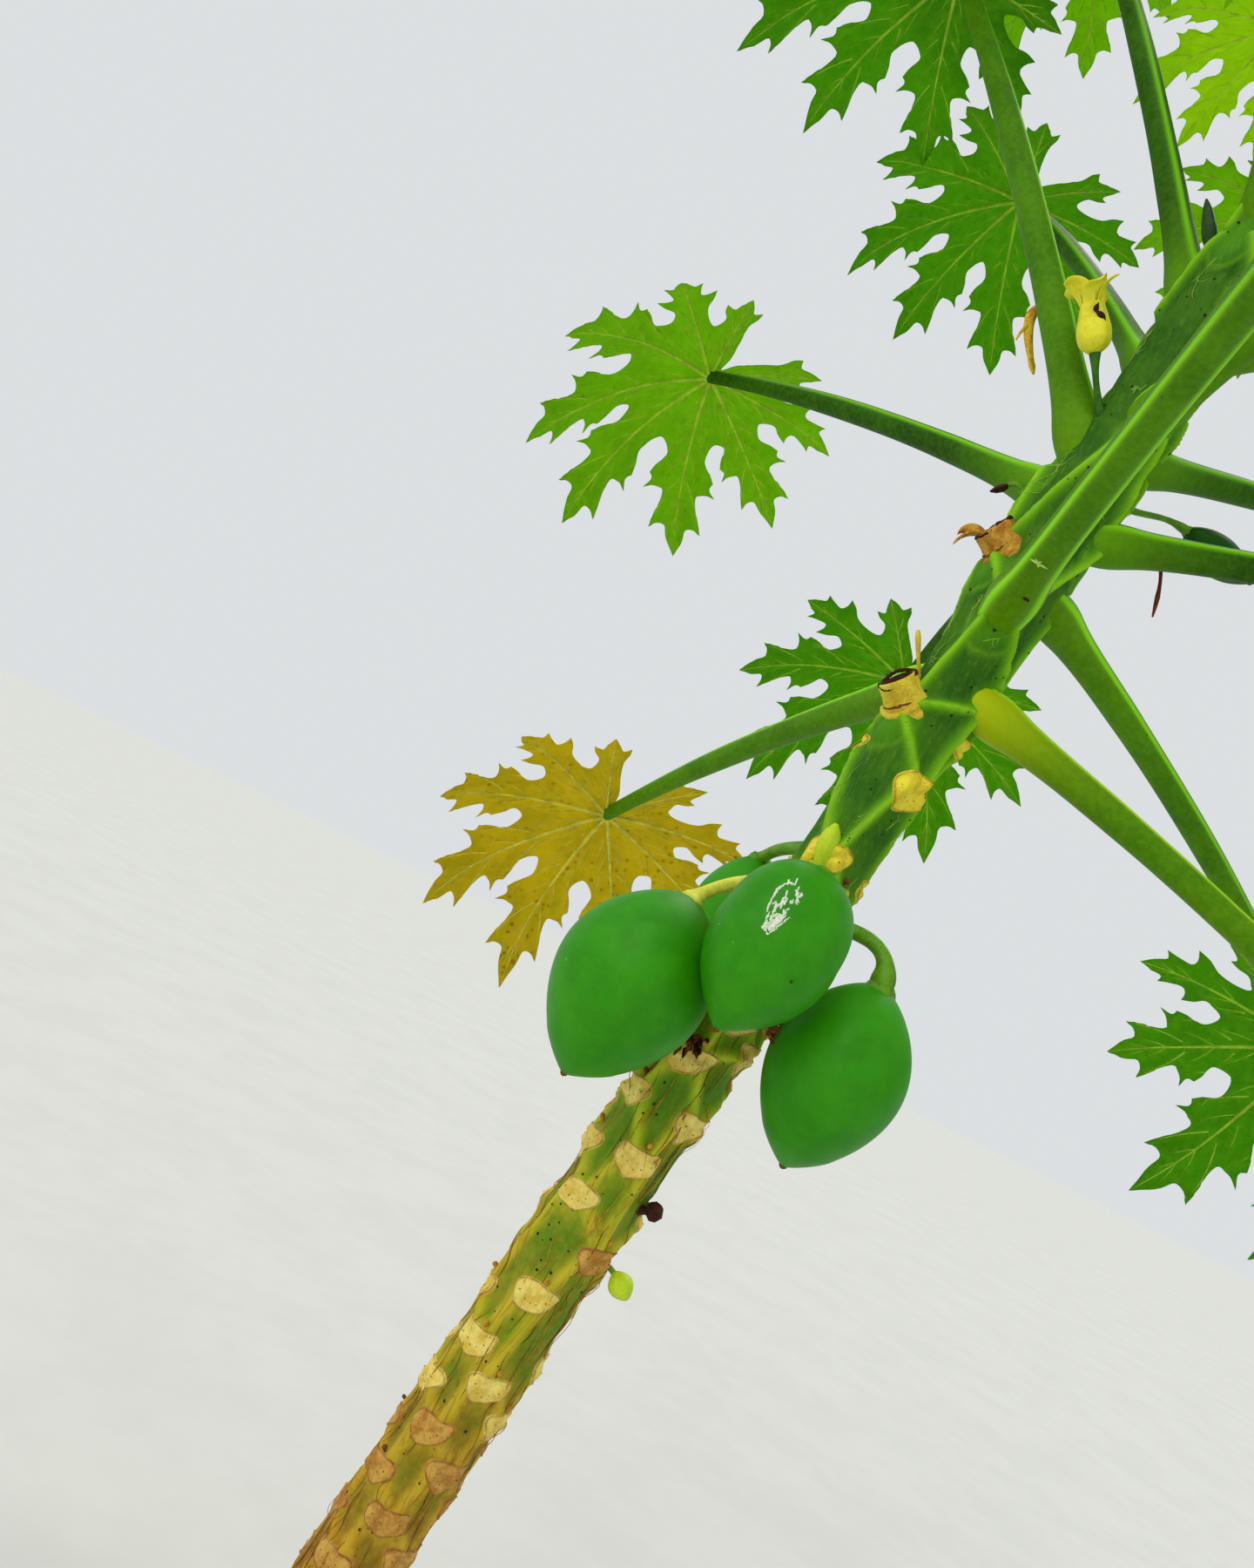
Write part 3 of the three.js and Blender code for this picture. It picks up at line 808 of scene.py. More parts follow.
def addRemains(bundle, height, azimuth, tall, rng):
    # the broken stalk of an old flower or fruit above the scar
    foot = barkPoint(height + 0.5 * tall, azimuth + rng.uniform(-6, 6), -0.003)
    out = direction(azimuth + rng.uniform(-25, 25), rng.uniform(5, 50))
    length = rng.uniform(0.006, 0.014)
    path = bezier([foot, foot + out * length * 0.6, foot + out * length + [0, 0, 0.003]], 7)
    radii = np.array([3.6, 3.2, 2.6, 2.5, 2.8, 2.9, 2.0]) * rng.uniform(0.7, 1.15) / 1000
    ragged = sweep(path, radii, 9, profile=lambda angle, share: 1 + 0.12 * np.sin(5 * angle + 9 * share))
    addPart(bundle, ragged, int(rng.choice([3, 4, 4])))


def makeScars():
    bundle, rng = newBundle(), np.random.default_rng(scarSpiral["seed"])
    crumbs = np.random.default_rng(remains["seed"])
    for height, azimuth, step in scars:
        if height < 0.06:
            continue
        worn = np.interp(height, [0.1, 0.5, 0.9], [1.2, 1.05, 1.0])
        grown = scarSpiral["broad"].get(step, 1)
        width = scarSpiral["width"] * worn * grown * rng.uniform(0.84, 1.06)
        tall = scarSpiral["tall"] / worn * grown * rng.uniform(0.85, 1.12)
        face = 0 if height > 1.1 else 2 if height < 0.5 or step in scarRings["brown"] else 1
        addScar(bundle, height, azimuth, width, tall, face, rng)
        kept = height > remains["fromHeight"] and crumbs.random() < remains["share"]
        if kept and step not in remains["none"]:
            addRemains(bundle, height, azimuth, tall, crumbs)
    # the dark knob and fibres of a fallen flower stalk over one scar
    height, azimuth = scarSpiral["settled"][remains["tuftOn"]]
    for tuft in range(remains["tufts"]):
        foot = barkPoint(height + crumbs.uniform(0.008, 0.024), azimuth + crumbs.uniform(-16, 6), -0.001)
        out = direction(azimuth + crumbs.uniform(-30, 30), crumbs.uniform(-40, 50))
        long = crumbs.uniform(0.004, 0.011)
        addPart(bundle, sweep([foot, foot + out * long, foot + out * long * 1.5 + [0, 0, -0.004]],
                              [0.003, 0.0026, 0.0008], 6), 5 if tuft % 3 else 3)
    makePiece("leafScars", bundle, ["scarFresh", "scarCream", "scarOld", "corkBrown", "dryStraw", "darkCork"])


makeScars()

fibres = {
    "count": 460,
    "between": (0.06, 1.02),
    "long": (0.02, 0.11),
    "radius": 0.00034,
    "loose": 0.3,  # the share of them that stands off the bark
    "webs": 70,
    "websBetween": (1.02, 1.95),
    "webThreads": 3,
    "webRadius": 0.00022,
    "seed": 8,
}


def wander(rng, start, t, drift, sway, waves):
    return start + rng.uniform(*drift) * t + rng.uniform(*sway) * np.sin(t * rng.uniform(*waves))


def makeFibres():
    bundle, rng = newBundle(), np.random.default_rng(fibres["seed"])

    def addThread(rise, azimuth, lift, radii, slot):
        path = onBark(rise, azimuth, lift)
        addPart(bundle, sweep(path, radii, 4, upward=direction(azimuth[0], 0)), slot)

    t = np.linspace(0, 1, 11)
    for strand in range(fibres["count"]):
        low = rng.uniform(*fibres["between"])
        length = rng.uniform(*fibres["long"])
        azimuth = wander(rng, rng.uniform(-180, 180), t, (-10, 10), (1, 5), (2, 8))
        lifted = rng.uniform(0, 0.005) if rng.random() < fibres["loose"] else 0.0006
        lift = 0.0003 + lifted * np.sin(math.pi * t) ** 2
        radii = fibres["radius"] * rng.uniform(0.6, 1.5) * np.interp(t, [0, 0.15, 0.8, 1], [0.3, 1, 0.9, 0.2])
        addThread(low + length * t, azimuth, lift, radii, int(rng.random() < 0.45))
    # pale webs of fine threads round the green part of the trunk
    t = np.linspace(0, 1, 13)
    lift = 0.0004 + 0.0015 * np.sin(math.pi * t) ** 2
    radii = fibres["webRadius"] * np.interp(t, [0, 0.2, 0.8, 1], [0.4, 1, 1, 0.3])
    for web in range(fibres["webs"]):
        low, across = rng.uniform(*fibres["websBetween"]), rng.uniform(-180, 180)
        for thread in range(fibres["webThreads"]):
            azimuth = wander(rng, across, t, (6, 26), (2, 7), (3, 9))
            rise = wander(rng, low, t, (-0.03, 0.04), (0.001, 0.006), (3, 9))
            addThread(rise, azimuth, lift, radii, 2)
    makePiece("trunkFibres", bundle, ["dryStraw", "corkBrown", "webPale"])


makeFibres()


# Leaf stalks

stalk = {
    "radii": [(0, 0.0205), (0.045, 0.0235), (0.075, 0.0258), (0.13, 0.0214), (0.3, 0.0172), (0.6, 0.0150),
              (0.9, 0.0110), (1, 0.0100)],
    "arch": 0.03,
    "claspWidening": 0.14,
    "claspShare": 0.13,
    "sides": 40,
    "stations": 72,
    "channel": 0.07,  # depth of the channel on top, as a share of the radius
    "channelWidth": 0.5,
    "edge": 0.05,  # the raised edges beside it
    "edgeWidth": 0.13,
    # how wide the painted glow, as of light shining through the stalk, is along its raised edges; edgesAt
    # below sets where the raised edges and their painted glow sit
    "edgeGlowWidth": 0.17,
    "flutes": (10, 0.008),
    "baseShare": 0.145,  # how far the colour of the base reaches
    "edgesAt": {0: (20, 126), 2: (324, 212), 3: (60, 164), 12: (62, 150)},  # in degrees round the stalk
    "otherEdges": (30, 150),
    "yellow": (0, 13),
    "marked": 2,
    "deep": (6, 8, 9, 11, 14, 17, 19),
}


def stalkPath(leaf, count):
    start = trunkMiddle(leaf["height"])
    hub = start + direction(leaf["azimuth"], leaf["rise"]) * leaf["reach"]
    arch = (start + hub) / 2 + [0, 0, 2 * stalk["arch"] * leaf["reach"]]
    return bezier([start, arch, hub], count)


def stalkFinish(name, body, dark, rim, warm, warmth):
    tree, shader, place = newFinish(name, 0.55, 0.1)
    colour = patchy(tree, place, 5.0, body, dark)[0]
    colour = layer(tree, colour, warm, mask(tree, "base"), warmth)
    fine = mottle(tree, place, 150.0)
    colour = layer(tree, colour, rim, fine, 0.1)
    # the painted glow, as of light shining through, along the raised edges that the edge mask marks
    colour = layer(tree, colour, rim, mask(tree, "edge"))
    dots = specks(tree, place, 90.0, 0.12, 0.05)
    colour = layer(tree, colour, (60, 60, 14), dots, 0.7)
    paint(tree, shader, colour, fine, 0.12, 0.0006)


stalkTints = {
    # the stalk's colour, its darker patches, the painted glow along its raised edges, its base and how far
    # that shows
    "stalkOlive": ((80, 132, 1), (60, 110, 1), (150, 232, 30), (150, 200, 10), 0.25),
    "stalkYellow": ((86, 138, 1), (66, 122, 1), (176, 226, 16), (196, 210, 6), 0.9),
    "stalkDeep": ((46, 94, 1), (30, 70, 1), (130, 210, 16), (126, 190, 6), 0.6),
}
for finishName, tints in stalkTints.items():
    stalkFinish(finishName, *tints)


def addMarks(bundle, points):
    # a pale scratch like a small star, and a dark nick nearer the foot
    def at(station, side):
        return points[station * stalk["sides"] + side]

    middle, nick = at(12, 28), at(8, 31)
    along, around = unit(at(14, 28) - at(10, 28)), unit(at(12, 29) - at(12, 27))
    for turn, long in ((0.2, 0.010), (1.3, 0.005), (2.6, 0.006), (3.4, 0.009), (5.2, 0.005)):
        tip = middle + (math.cos(turn) * around + math.sin(turn) * along) * long
        addPart(bundle, sweep([middle, (middle + tip) / 2, tip], [0.0016, 0.0013, 0.0003], 6), 3)
    addPart(bundle, sweep([nick - around * 0.005, nick, nick + around * 0.005],
                          [0.0004, 0.0018, 0.0006], 6), 4)


def makeStalks():
    bundle = newBundle()
    for leaf in leaves:
        path = stalkPath(leaf, stalk["stations"])
        share = np.linspace(0, 1, stalk["stations"])
        radii = smoothTable(stalk["radii"], share) * leaf["vigour"] * leaf["girth"]
        edgeAt = np.radians(stalk["edgesAt"].get(leaf["index"], stalk["otherEdges"]))

        def section(angle, along, edgeAt=edgeAt):
            clasp = np.clip(1 - along / stalk["claspShare"], 0, 1)
            wide = np.hypot(np.cos(angle) * (1 + stalk["claspWidening"] * clasp), np.sin(angle))
            groove = np.exp(-((angle - math.pi / 2) / stalk["channelWidth"]) ** 2)
            channel = stalk["channel"] * groove * (1 - along * 0.6)
            edges = sum(np.exp(-((angle - at) / stalk["edgeWidth"]) ** 2) for at in edgeAt)
            flutes, depth = stalk["flutes"]
            return wide * (1 - channel + stalk["edge"] * edges * (1 - 0.6 * along)
                           + depth * np.cos(flutes * angle))

        angle = ringAngles(stalk["sides"])
        # a painted glow, as of light shining through the stalk, along its raised edges, strongest near the
        # foot and fading out towards the blade
        edge = sum(np.exp(-((angle - at) / stalk["edgeGlowWidth"]) ** 2) for at in edgeAt)
        edge = np.minimum(1.5 * edge, 1)
        fade = np.interp(share, [0, 0.04, 0.5, 0.95], [0.6, 1, 0.8, 0.2])
        edgeGlowMask = (fade[:, None] * edge[None, :]).ravel()
        slot = 1 if leaf["index"] in stalk["yellow"] else 2 if leaf["index"] in stalk["deep"] else 0
        base = np.repeat(np.exp(-(share / stalk["baseShare"]) ** 2), stalk["sides"])
        limb = sweep(path, radii, stalk["sides"], profile=section)
        addPart(bundle, limb, slot, edge=edgeGlowMask, base=base)
        if leaf["index"] == stalk["marked"]:
            addMarks(bundle, limb[0])
    nodes = [f"leaf_stalk_{leaf['index']:02d}" for leaf in leaves]
    makePiece("leafStalks", bundle, [*stalkTints, "webPale", "darkCork"], nodes)


makeStalks()


# Leaf blades: a toothed outline filled with a fine net, puffed between its veins

blade = {
    "lobes": [(0, 1.0), (38, 0.97), (76, 0.87), (113, 0.70), (148, 0.50)],  # angle and length
    "notches": (0.385, 0.375, 0.35, 0.27),
    "rear": [(160, 0.22), (170, 0.12), (180, 0.055)],
    # half a lobe's edge: along and off its rib, and whether the margin turns sharply there
    "long": [(0.46, 0.100, 0), (0.54, 0.150, 0), (0.585, 0.174, 1), (0.605, 0.160, 0), (0.67, 0.200, 1),
             (0.648, 0.140, 0), (0.655, 0.098, 0), (0.72, 0.100, 0), (0.79, 0.126, 0), (0.87, 0.152, 1),
             (0.842, 0.105, 0), (0.842, 0.064, 0), (0.90, 0.050, 0)],
    "medium": [(0.58, 0.105, 0), (0.64, 0.150, 0), (0.72, 0.185, 1), (0.705, 0.12, 0),
               (0.715, 0.092, 0), (0.80, 0.095, 0), (0.88, 0.12, 1), (0.86, 0.07, 0), (0.92, 0.045, 0)],
    "short": [(0.66, 0.110, 0), (0.74, 0.150, 0), (0.82, 0.16, 1), (0.80, 0.09, 0), (0.88, 0.055, 0)],
    # side veins: where each leaves the rib, and where it ends
    "veins": [(0.10, 0.30, 0.074), (0.20, 0.44, 0.090), (0.31, 0.648, 0.184), (0.43, 0.60, 0.083),
              (0.55, 0.855, 0.142), (0.68, 0.82, 0.053), (0.78, 0.92, 0.036)],
    "branches": [(0.45, 0.575, 0.158), (0.68, 0.64, 0.125)],  # off the longest side vein
    "cell": 0.0092,
    "clearance": (0.55, 0.5),  # of the net from the outline and from the veins, in cells
    "margin": 0.0068,
    "thickness": 0.0008,
    "quilt": 0.0022,
    "quiltWidth": 0.0050,
    "nearVein": 0.004,  # how far the paler colour reaches from a vein
    "keel": 0.15,
    "wave": 0.0075,
    "tilt": 42,
    "tiltEase": 0.5,
    "droop": 0.32,
    "draw": 0.18,
    "endSag": 0.05,
    "ribRadius": 0.0042,
    "topSide": (0.42, 0.5),  # roughness, and the share of light let through
    "underSide": (0.6, 0.72),
    "spots": {"yellowing": 0.5},  # the share of cells with a brown spot
    "otherSpots": 0.03,
    "seed": 300,
}


def smoothRun(anchors, step):
    # a smooth line through the anchors, without its last point
    p = np.array(anchors, float)
    if len(p) == 2:
        count = max(1, int(np.linalg.norm(p[1] - p[0]) / step))
        return p[0] + (p[1] - p[0]) * np.linspace(0, 1, count, endpoint=False)[:, None]
    gaps = np.linalg.norm(np.diff(p, axis=0), axis=1)
    tangents = np.gradient(p, np.concatenate([[0], np.cumsum(gaps)]), axis=0)
    run = []
    for i, gap in enumerate(gaps):
        t = np.linspace(0, 1, max(2, int(gap / step) + 1), endpoint=False)[:, None]
        run.append(hermite(t, p[i], p[i + 1], tangents[i], tangents[i + 1], gap))
    return np.vstack(run)


def lobePlans(rng):
    plans = []
    for sign in (-1, 1):
        for angle, length in blade["lobes"][(1 if sign < 0 else 0):]:
            plans.append({
                "angle": math.radians(sign * angle + rng.uniform(-1.4, 1.4)),
                "length": length * rng.uniform(0.95, 1.0),
                "edge": "long" if length > 0.8 else "medium" if length > 0.6 else "short",
                "shift": rng.uniform(-0.02, 0.02, 2),
                "sway": rng.uniform(-0.07, 0.07),
                "droop": rng.uniform(-0.05, 0.09),
            })
    return sorted(plans, key=lambda plan: plan["angle"])


def lobePoint(plan, along, off):
    c, s = math.cos(plan["angle"]), math.sin(plan["angle"])
    return np.array([along * c - off * s, along * s + off * c]) * plan["length"]


def polar(degrees, reach):
    return np.array([math.cos(math.radians(degrees)), math.sin(math.radians(degrees))]) * reach


def bladeOutline(lobes, step):
    anchors = [(polar(-angle, reach), 0) for angle, reach in blade["rear"][::-1]]
    notches = list(blade["notches"][::-1]) + list(blade["notches"])
    for i, plan in enumerate(lobes):
        profile = blade[plan["edge"]]
        before, after = plan["shift"]
        anchors += [(lobePoint(plan, along + before, -off), sharp) for along, off, sharp in profile]
        anchors.append((lobePoint(plan, 1.0, 0.0), 1))
        anchors += [(lobePoint(plan, along + after, off), sharp) for along, off, sharp in profile[::-1]]
        if i < len(notches):
            middle = math.degrees((plan["angle"] + lobes[i + 1]["angle"]) / 2)
            anchors.append((polar(middle, notches[i]), 0))
    anchors += [(polar(angle, reach), 0) for angle, reach in blade["rear"][:-1]]
    first = next(i for i, (point, sharp) in enumerate(anchors) if sharp)
    anchors = anchors[first:] + anchors[:first + 1]
    outline, run = [], [anchors[0][0]]
    for point, sharp in anchors[1:]:
        run.append(point)
        if sharp:
            outline.append(smoothRun(run, step))
            run = [point]
    return np.vstack(outline)


def bladeVeins(lobes, step):
    # each vein as its points, its radius at both ends as shares of the widest, and its sides
    veins = []
    for plan in lobes:
        tip = lobePoint(plan, 0.985, 0.0)
        count = max(4, int(np.linalg.norm(tip) / step))
        rib = np.linspace(0.012, 1, count)[:, None] * tip
        veins.append((rib, 0.55 + 0.45 * plan["length"], 0.14, 7))
        for side, shift in ((-1, plan["shift"][0]), (1, plan["shift"][1])):
            for number, (leaving, along, off) in enumerate(blade["veins"]):
                if plan["edge"] == "short" and number in (2, 4):
                    along, off = along - 0.06, off * 0.72
                if plan["edge"] == "medium" and number in (2, 3):
                    off *= 0.84
                start = lobePoint(plan, leaving, 0)
                end = lobePoint(plan, along + shift * (leaving > 0.25), side * off)
                bend = lobePoint(plan, leaving + 0.45 * (along - leaving), side * off * 0.62)
                long = np.linalg.norm(end - start)
                run = bezier([start, bend, end], max(4, int(long / step / 1.25)))
                strength = 0.40 if number in (2, 4) else 0.27
                veins.append((run[1:] if len(run) > 4 else run, strength, 0.10, 4))
                if number == 2 and plan["edge"] == "long":
                    for share, branchAlong, branchOff in blade["branches"]:
                        root = run[int(share * (len(run) - 1))]
                        far = lobePoint(plan, branchAlong + shift, side * branchOff)
                        veins.append((np.linspace(0.06, 1, 4)[:, None] * (far - root) + root,
                                      0.2, 0.08, 3))
    return veins


def nearestOf(points, targets):
    # the distance from each point to the nearest target, in blocks that fit in memory
    blocks = [points[start:start + 1500] for start in range(0, len(points), 1500)]
    return np.concatenate([np.linalg.norm(block[:, None] - targets, axis=2).min(1) for block in blocks])


def insideOutline(points, outline):
    a, b = outline, np.roll(outline, -1, axis=0)
    x, y = points[:, 0][:, None], points[:, 1][:, None]
    crosses = (a[:, 1] > y) != (b[:, 1] > y)
    slope = (b[:, 0] - a[:, 0]) / np.where(b[:, 1] == a[:, 1], 1e-12, b[:, 1] - a[:, 1])
    return (crosses & (x < (y - a[:, 1]) * slope + a[:, 0])).sum(1) % 2 == 1


def flatBlade(radius, rng):
    # everything here is in shares of the blade's radius
    lobes = lobePlans(rng)
    outline = bladeOutline(lobes, blade["margin"] / radius)
    veins = []
    for line, *rest in bladeVeins(lobes, blade["cell"] * 1.15 / radius):
        outside = np.flatnonzero(~insideOutline(line, outline))
        line = line[:outside[0]] if len(outside) else line
        if len(line) > 2:
            veins.append((line, *rest))
    cell = blade["cell"] / radius
    xs, ys = np.arange(-1.05, 1.05, cell), np.arange(-1.05, 1.05, cell * 0.866)
    gx, gy = np.meshgrid(xs, ys)
    gx[1::2] += cell / 2
    grid = np.stack([gx.ravel(), gy.ravel()], 1) + rng.uniform(-0.12, 0.12, (gx.size, 2)) * cell
    grid = grid[insideOutline(grid, outline)]
    lines = np.vstack([vein[0] for vein in veins])
    grid = grid[nearestOf(grid, outline) > cell * blade["clearance"][0]]
    grid = grid[nearestOf(grid, lines) > cell * blade["clearance"][1]]
    points = [Vector(p) for p in outline]
    edges = [(i, (i + 1) % len(outline)) for i in range(len(outline))]
    for line, *rest in veins:
        first = len(points)
        points += [Vector(p) for p in line]
        edges += [(first + i, first + i + 1) for i in range(len(line) - 1)]
    points += [Vector(p) for p in grid]
    made = delaunay_2d_cdt(points, edges, [], 1, 1e-6)
    flat = np.array([tuple(p) for p in made[0]])
    triangles = np.array([tuple(f) for f in made[2] if len(f) == 3])
    a, b, c = (flat[triangles[:, i]] for i in range(3))
    turn = (b - a)[:, 0] * (c - a)[:, 1] - (b - a)[:, 1] * (c - a)[:, 0]
    triangles[turn < 0] = triangles[turn < 0][:, ::-1]
    triangles = triangles[np.abs(turn) > 1e-9]
    used = np.unique(triangles)
    order = np.full(len(flat), -1)
    order[used] = np.arange(len(used))
    flat, triangles = flat[used], order[triangles]
    return {"lobes": lobes, "veins": veins, "flat": flat, "triangles": triangles, "lines": lines}


def bladeFrame(leaf):
    tilt = blade["tilt"] - blade["tiltEase"] * leaf["rise"]
    out = direction(leaf["azimuth"], -tilt)
    return out, *squareTo(out)


def shapeBlade(leaf, shape, flat, lift, waves):
    # from the flat outline to the hanging blade
    radius = leaf["radius"]
    angle, reach = np.arctan2(flat[:, 1], flat[:, 0]), np.linalg.norm(flat, axis=1)
    lobeAngles = np.array([plan["angle"] for plan in shape["lobes"]])
    ends = np.concatenate([[lobeAngles[0] - 0.6], lobeAngles, [lobeAngles[-1] + 0.6]])
    sway, droop = (np.interp(angle, ends, [0] + [plan[key] for plan in shape["lobes"]] + [0])
                   for key in ("sway", "droop"))
    off = np.abs(reach[:, None] * np.sin(np.clip(angle[:, None] - lobeAngles, -1.3, 1.3))).min(1)
    folded = blade["keel"] + 0.5 * (1 - leaf["vigour"])
    rise = folded * off * np.clip(reach / 0.3, 0, 1)
    for across, along, phase, size in waves:
        rise = rise + size * np.sin(across * flat[:, 0] + along * flat[:, 1] + phase) * reach**1.5
    bent = angle + sway * reach**2
    sag = (blade["droop"] + droop) * reach**2 + blade["endSag"] * reach**5
    draw = 1 - blade["draw"] * reach**2
    out, side, top = bladeFrame(leaf)
    x, y = reach * np.cos(bent) * draw * radius, reach * np.sin(bent) * draw * radius
    z = (rise - sag) * radius + lift - 0.0015
    return leaf["hub"] + x[:, None] * out + y[:, None] * side + z[:, None] * top


def surfaceNormals(points, triangles):
    a, b, c = (points[triangles[:, i]] for i in range(3))
    face = np.cross(b - a, c - a)
    normals = np.zeros_like(points)
    for i in range(3):
        np.add.at(normals, triangles[:, i], face)
    return unit(normals)


def makeBlade(leaf, kind):
    rng = np.random.default_rng(blade["seed"] + leaf["index"])
    radius = leaf["radius"]
    leaf["hub"] = stalkPath(leaf, 3)[-1]
    shape = flatBlade(radius, rng)
    waves = [(rng.uniform(-9, 9), rng.uniform(-9, 9), rng.uniform(0, 6.28),
              blade["wave"] / radius * rng.uniform(0.3, 0.8)) for i in range(7)]
    flat, triangles = shape["flat"], shape["triangles"]
    fromVein = nearestOf(flat, shape["lines"]) * radius
    puff = 1 - np.exp(-(fromVein / blade["quiltWidth"]) ** 2)
    quilt = blade["quilt"] * leaf["vigour"] * puff
    top = shapeBlade(leaf, shape, flat, quilt, waves)
    normals = surfaceNormals(top, triangles)
    under = top - normals * blade["thickness"]
    n = len(top)
    sides = np.vstack([triangles[:, [0, 1]], triangles[:, [1, 2]], triangles[:, [2, 0]]])
    keys = sides[:, 0] * n + sides[:, 1]
    start, end = sides[~np.isin(keys, sides[:, 1] * n + sides[:, 0])].T
    rim = np.stack([end, start, start + n, end + n], -1)
    bundle = newBundle()
    near = np.exp(-fromVein / blade["nearVein"])
    addPart(bundle, (np.vstack([top, under]), [triangles, triangles[:, ::-1] + n, rim]), (0, 1, 0),
            near=np.concatenate([near, near]))
    size = blade["ribRadius"] * leaf["vigour"] * (radius / spiral["widestBlade"]) ** 0.5
    bladeUp = bladeFrame(leaf)[2]
    for line, first, last, count in shape["veins"]:
        share = np.linspace(0, 1, len(line))
        radii = size * (first + (last - first) * share**0.75)
        path = shapeBlade(leaf, shape, line, 0.0, waves) - bladeUp * (radii * 0.78)[:, None]
        addPart(bundle, sweep(path, radii, count, upward=bladeUp), 2)
    number = f"{leaf['index']:02d}"
    makePiece("blade_" + number, bundle, [kind + "Top", kind + "Under", kind + "Vein"],
              ["leaf_blade_" + number], sharp=50)


def bladeFinish(name, body, dark, vein, through, roughness, share, spots):
    tree, shader, place = newFinish(name, roughness, 0.2)
    colour = patchy(tree, place, 16.0, body, dark)[0]
    net = useGroup(tree, "veinNet", {"Vector": place, "Scale": 150.0})
    colour = layer(tree, colour, vein, net[0], 0.22)
    colour = layer(tree, colour, vein, mask(tree, "near"), 0.3)
    dots = specks(tree, place, 95.0, 0.34, spots)
    blotches = mottle(tree, place, 11.0)
    colour = layer(tree, colour, (96, 56, 10), times(tree, dots, blotches), 0.9)
    paint(tree, shader, colour, net[1], 0.25, 0.0010)
    lit = node(tree, "ShaderNodeBsdfTranslucent", {"Color": mixColour(tree, 0.75, colour, tint(*through))})
    blend = node(tree, "ShaderNodeMixShader", {0: share, 1: shader.outputs[0], 2: lit.outputs[0]})
    tree.links.new(blend.outputs[0], tree.nodes["Material Output"].inputs["Surface"])


bladeTints = {
    # upper side, its darker patches, the under side, its darker patches, the veins, light shining through
    "deep": ((30, 112, 2), (18, 84, 1), (84, 158, 6), (56, 130, 3), (160, 210, 40), (150, 214, 4)),
    "mature": ((54, 144, 2), (34, 114, 1), (116, 184, 6), (84, 158, 4), (182, 222, 44), (190, 236, 6)),
    "fresh": ((112, 188, 3), (80, 160, 2), (160, 212, 8), (124, 188, 5), (208, 236, 60), (216, 246, 10)),
    "yellowing": ((206, 190, 8), (160, 160, 6), (212, 198, 26), (176, 170, 14), (224, 216, 70),
                  (232, 214, 10)),
}
tintOfLeaf = {1: "yellowing", 0: "mature", 2: "mature", 3: "deep", 6: "deep", 8: "deep", 9: "mature",
              10: "mature", 11: "mature", 12: "deep", 13: "fresh", 14: "deep", 16: "mature",
              17: "mature", 18: "fresh", 19: "mature", 20: "fresh", 21: "fresh", 22: "fresh",
              24: "fresh", 25: "fresh"}


def makeBlades():
    for kind, (body, dark, under, underDark, vein, through) in bladeTints.items():
        plainFinish(kind + "Vein", vein, [int(v * 0.82) for v in vein], 0.5, 50.0, 0.1)
        spots = blade["spots"].get(kind, blade["otherSpots"])
        bladeFinish(kind + "Top", body, dark, vein, through, *blade["topSide"], spots)
        bladeFinish(kind + "Under", under, underDark, vein, through, *blade["underSide"], spots)
    for leaf in leaves:
        makeBlade(leaf, tintOfLeaf[leaf["index"]])


makeBlades()


# Fruit

fruit = {
    "sides": 72,
    "stations": 64,
    "point": 0.92,
    "fullness": 0.66,
    "coneFrom": 0.72,  # past this share of the length the fruit draws in to its point
    "coneEase": 1.35,
    "shoulderTo": 0.4,
    "shoulderCurve": (2.3, 0.48, 0.984),
    "tipBlend": (0.55, 0.45),  # how much of the cone and of the round form the tip takes
    "lobing": (0.014, 0.008),  # five slight lobes, and a slow wave round the fruit
    "stalkRadius": 0.0074,
    "kneeReach": 0.078,
    "neckRise": 0.040,
    "insideTrunk": 0.020,
    "stalkShape": [(0, 1.5), (0.25, 1.05), (0.5, 0.95), (0.8, 1.05), (0.93, 1.5), (1, 1.3)],
    "collar": (0.0092, 0.0125, 0.014),
    "remains": (0.0036, 0.0030, 0.0012),
}
fruits = {
    "fruit_left": dict(foot=(1.152, -150), middle=(0.013, -0.219, 0.990), hang=(-0.2, -0.06, -1),
                       size=(0.214, 0.078), slot=0, stalkSlot=2, blunt=0.86, neck=0.012, knee=0.070),
    "fruit_front": dict(foot=(1.160, -101), middle=(0.1145, -0.2862, 1.0780), hang=(-0.2, -0.16, -1),
                        size=(0.184, 0.0630), slot=0, stalkSlot=1, shoulder=1, neck=0.006, knee=0.056),
    "fruit_right": dict(foot=(1.132, -50), middle=(0.235, -0.211, 0.996), hang=(-0.06, 0.1, -1),
                        size=(0.204, 0.070), slot=0, stalkSlot=1, blunt=0.84, neck=0.060, knee=0.050,
                        thick=1.15),
    "fruit_back": dict(foot=(1.200, 150), middle=(0.099, -0.033, 1.097), hang=(-0.02, 0.05, -1),
                       size=(0.170, 0.050), slot=0, stalkSlot=1, neck=0.006, knee=0.050),
    "young_fruit": dict(foot=(1.668, 12), middle=(0.404, -0.152, 1.694), hang=(1, 0.1, -0.2),
                        size=(0.096, 0.022), slot=3, stalkSlot=1),
}


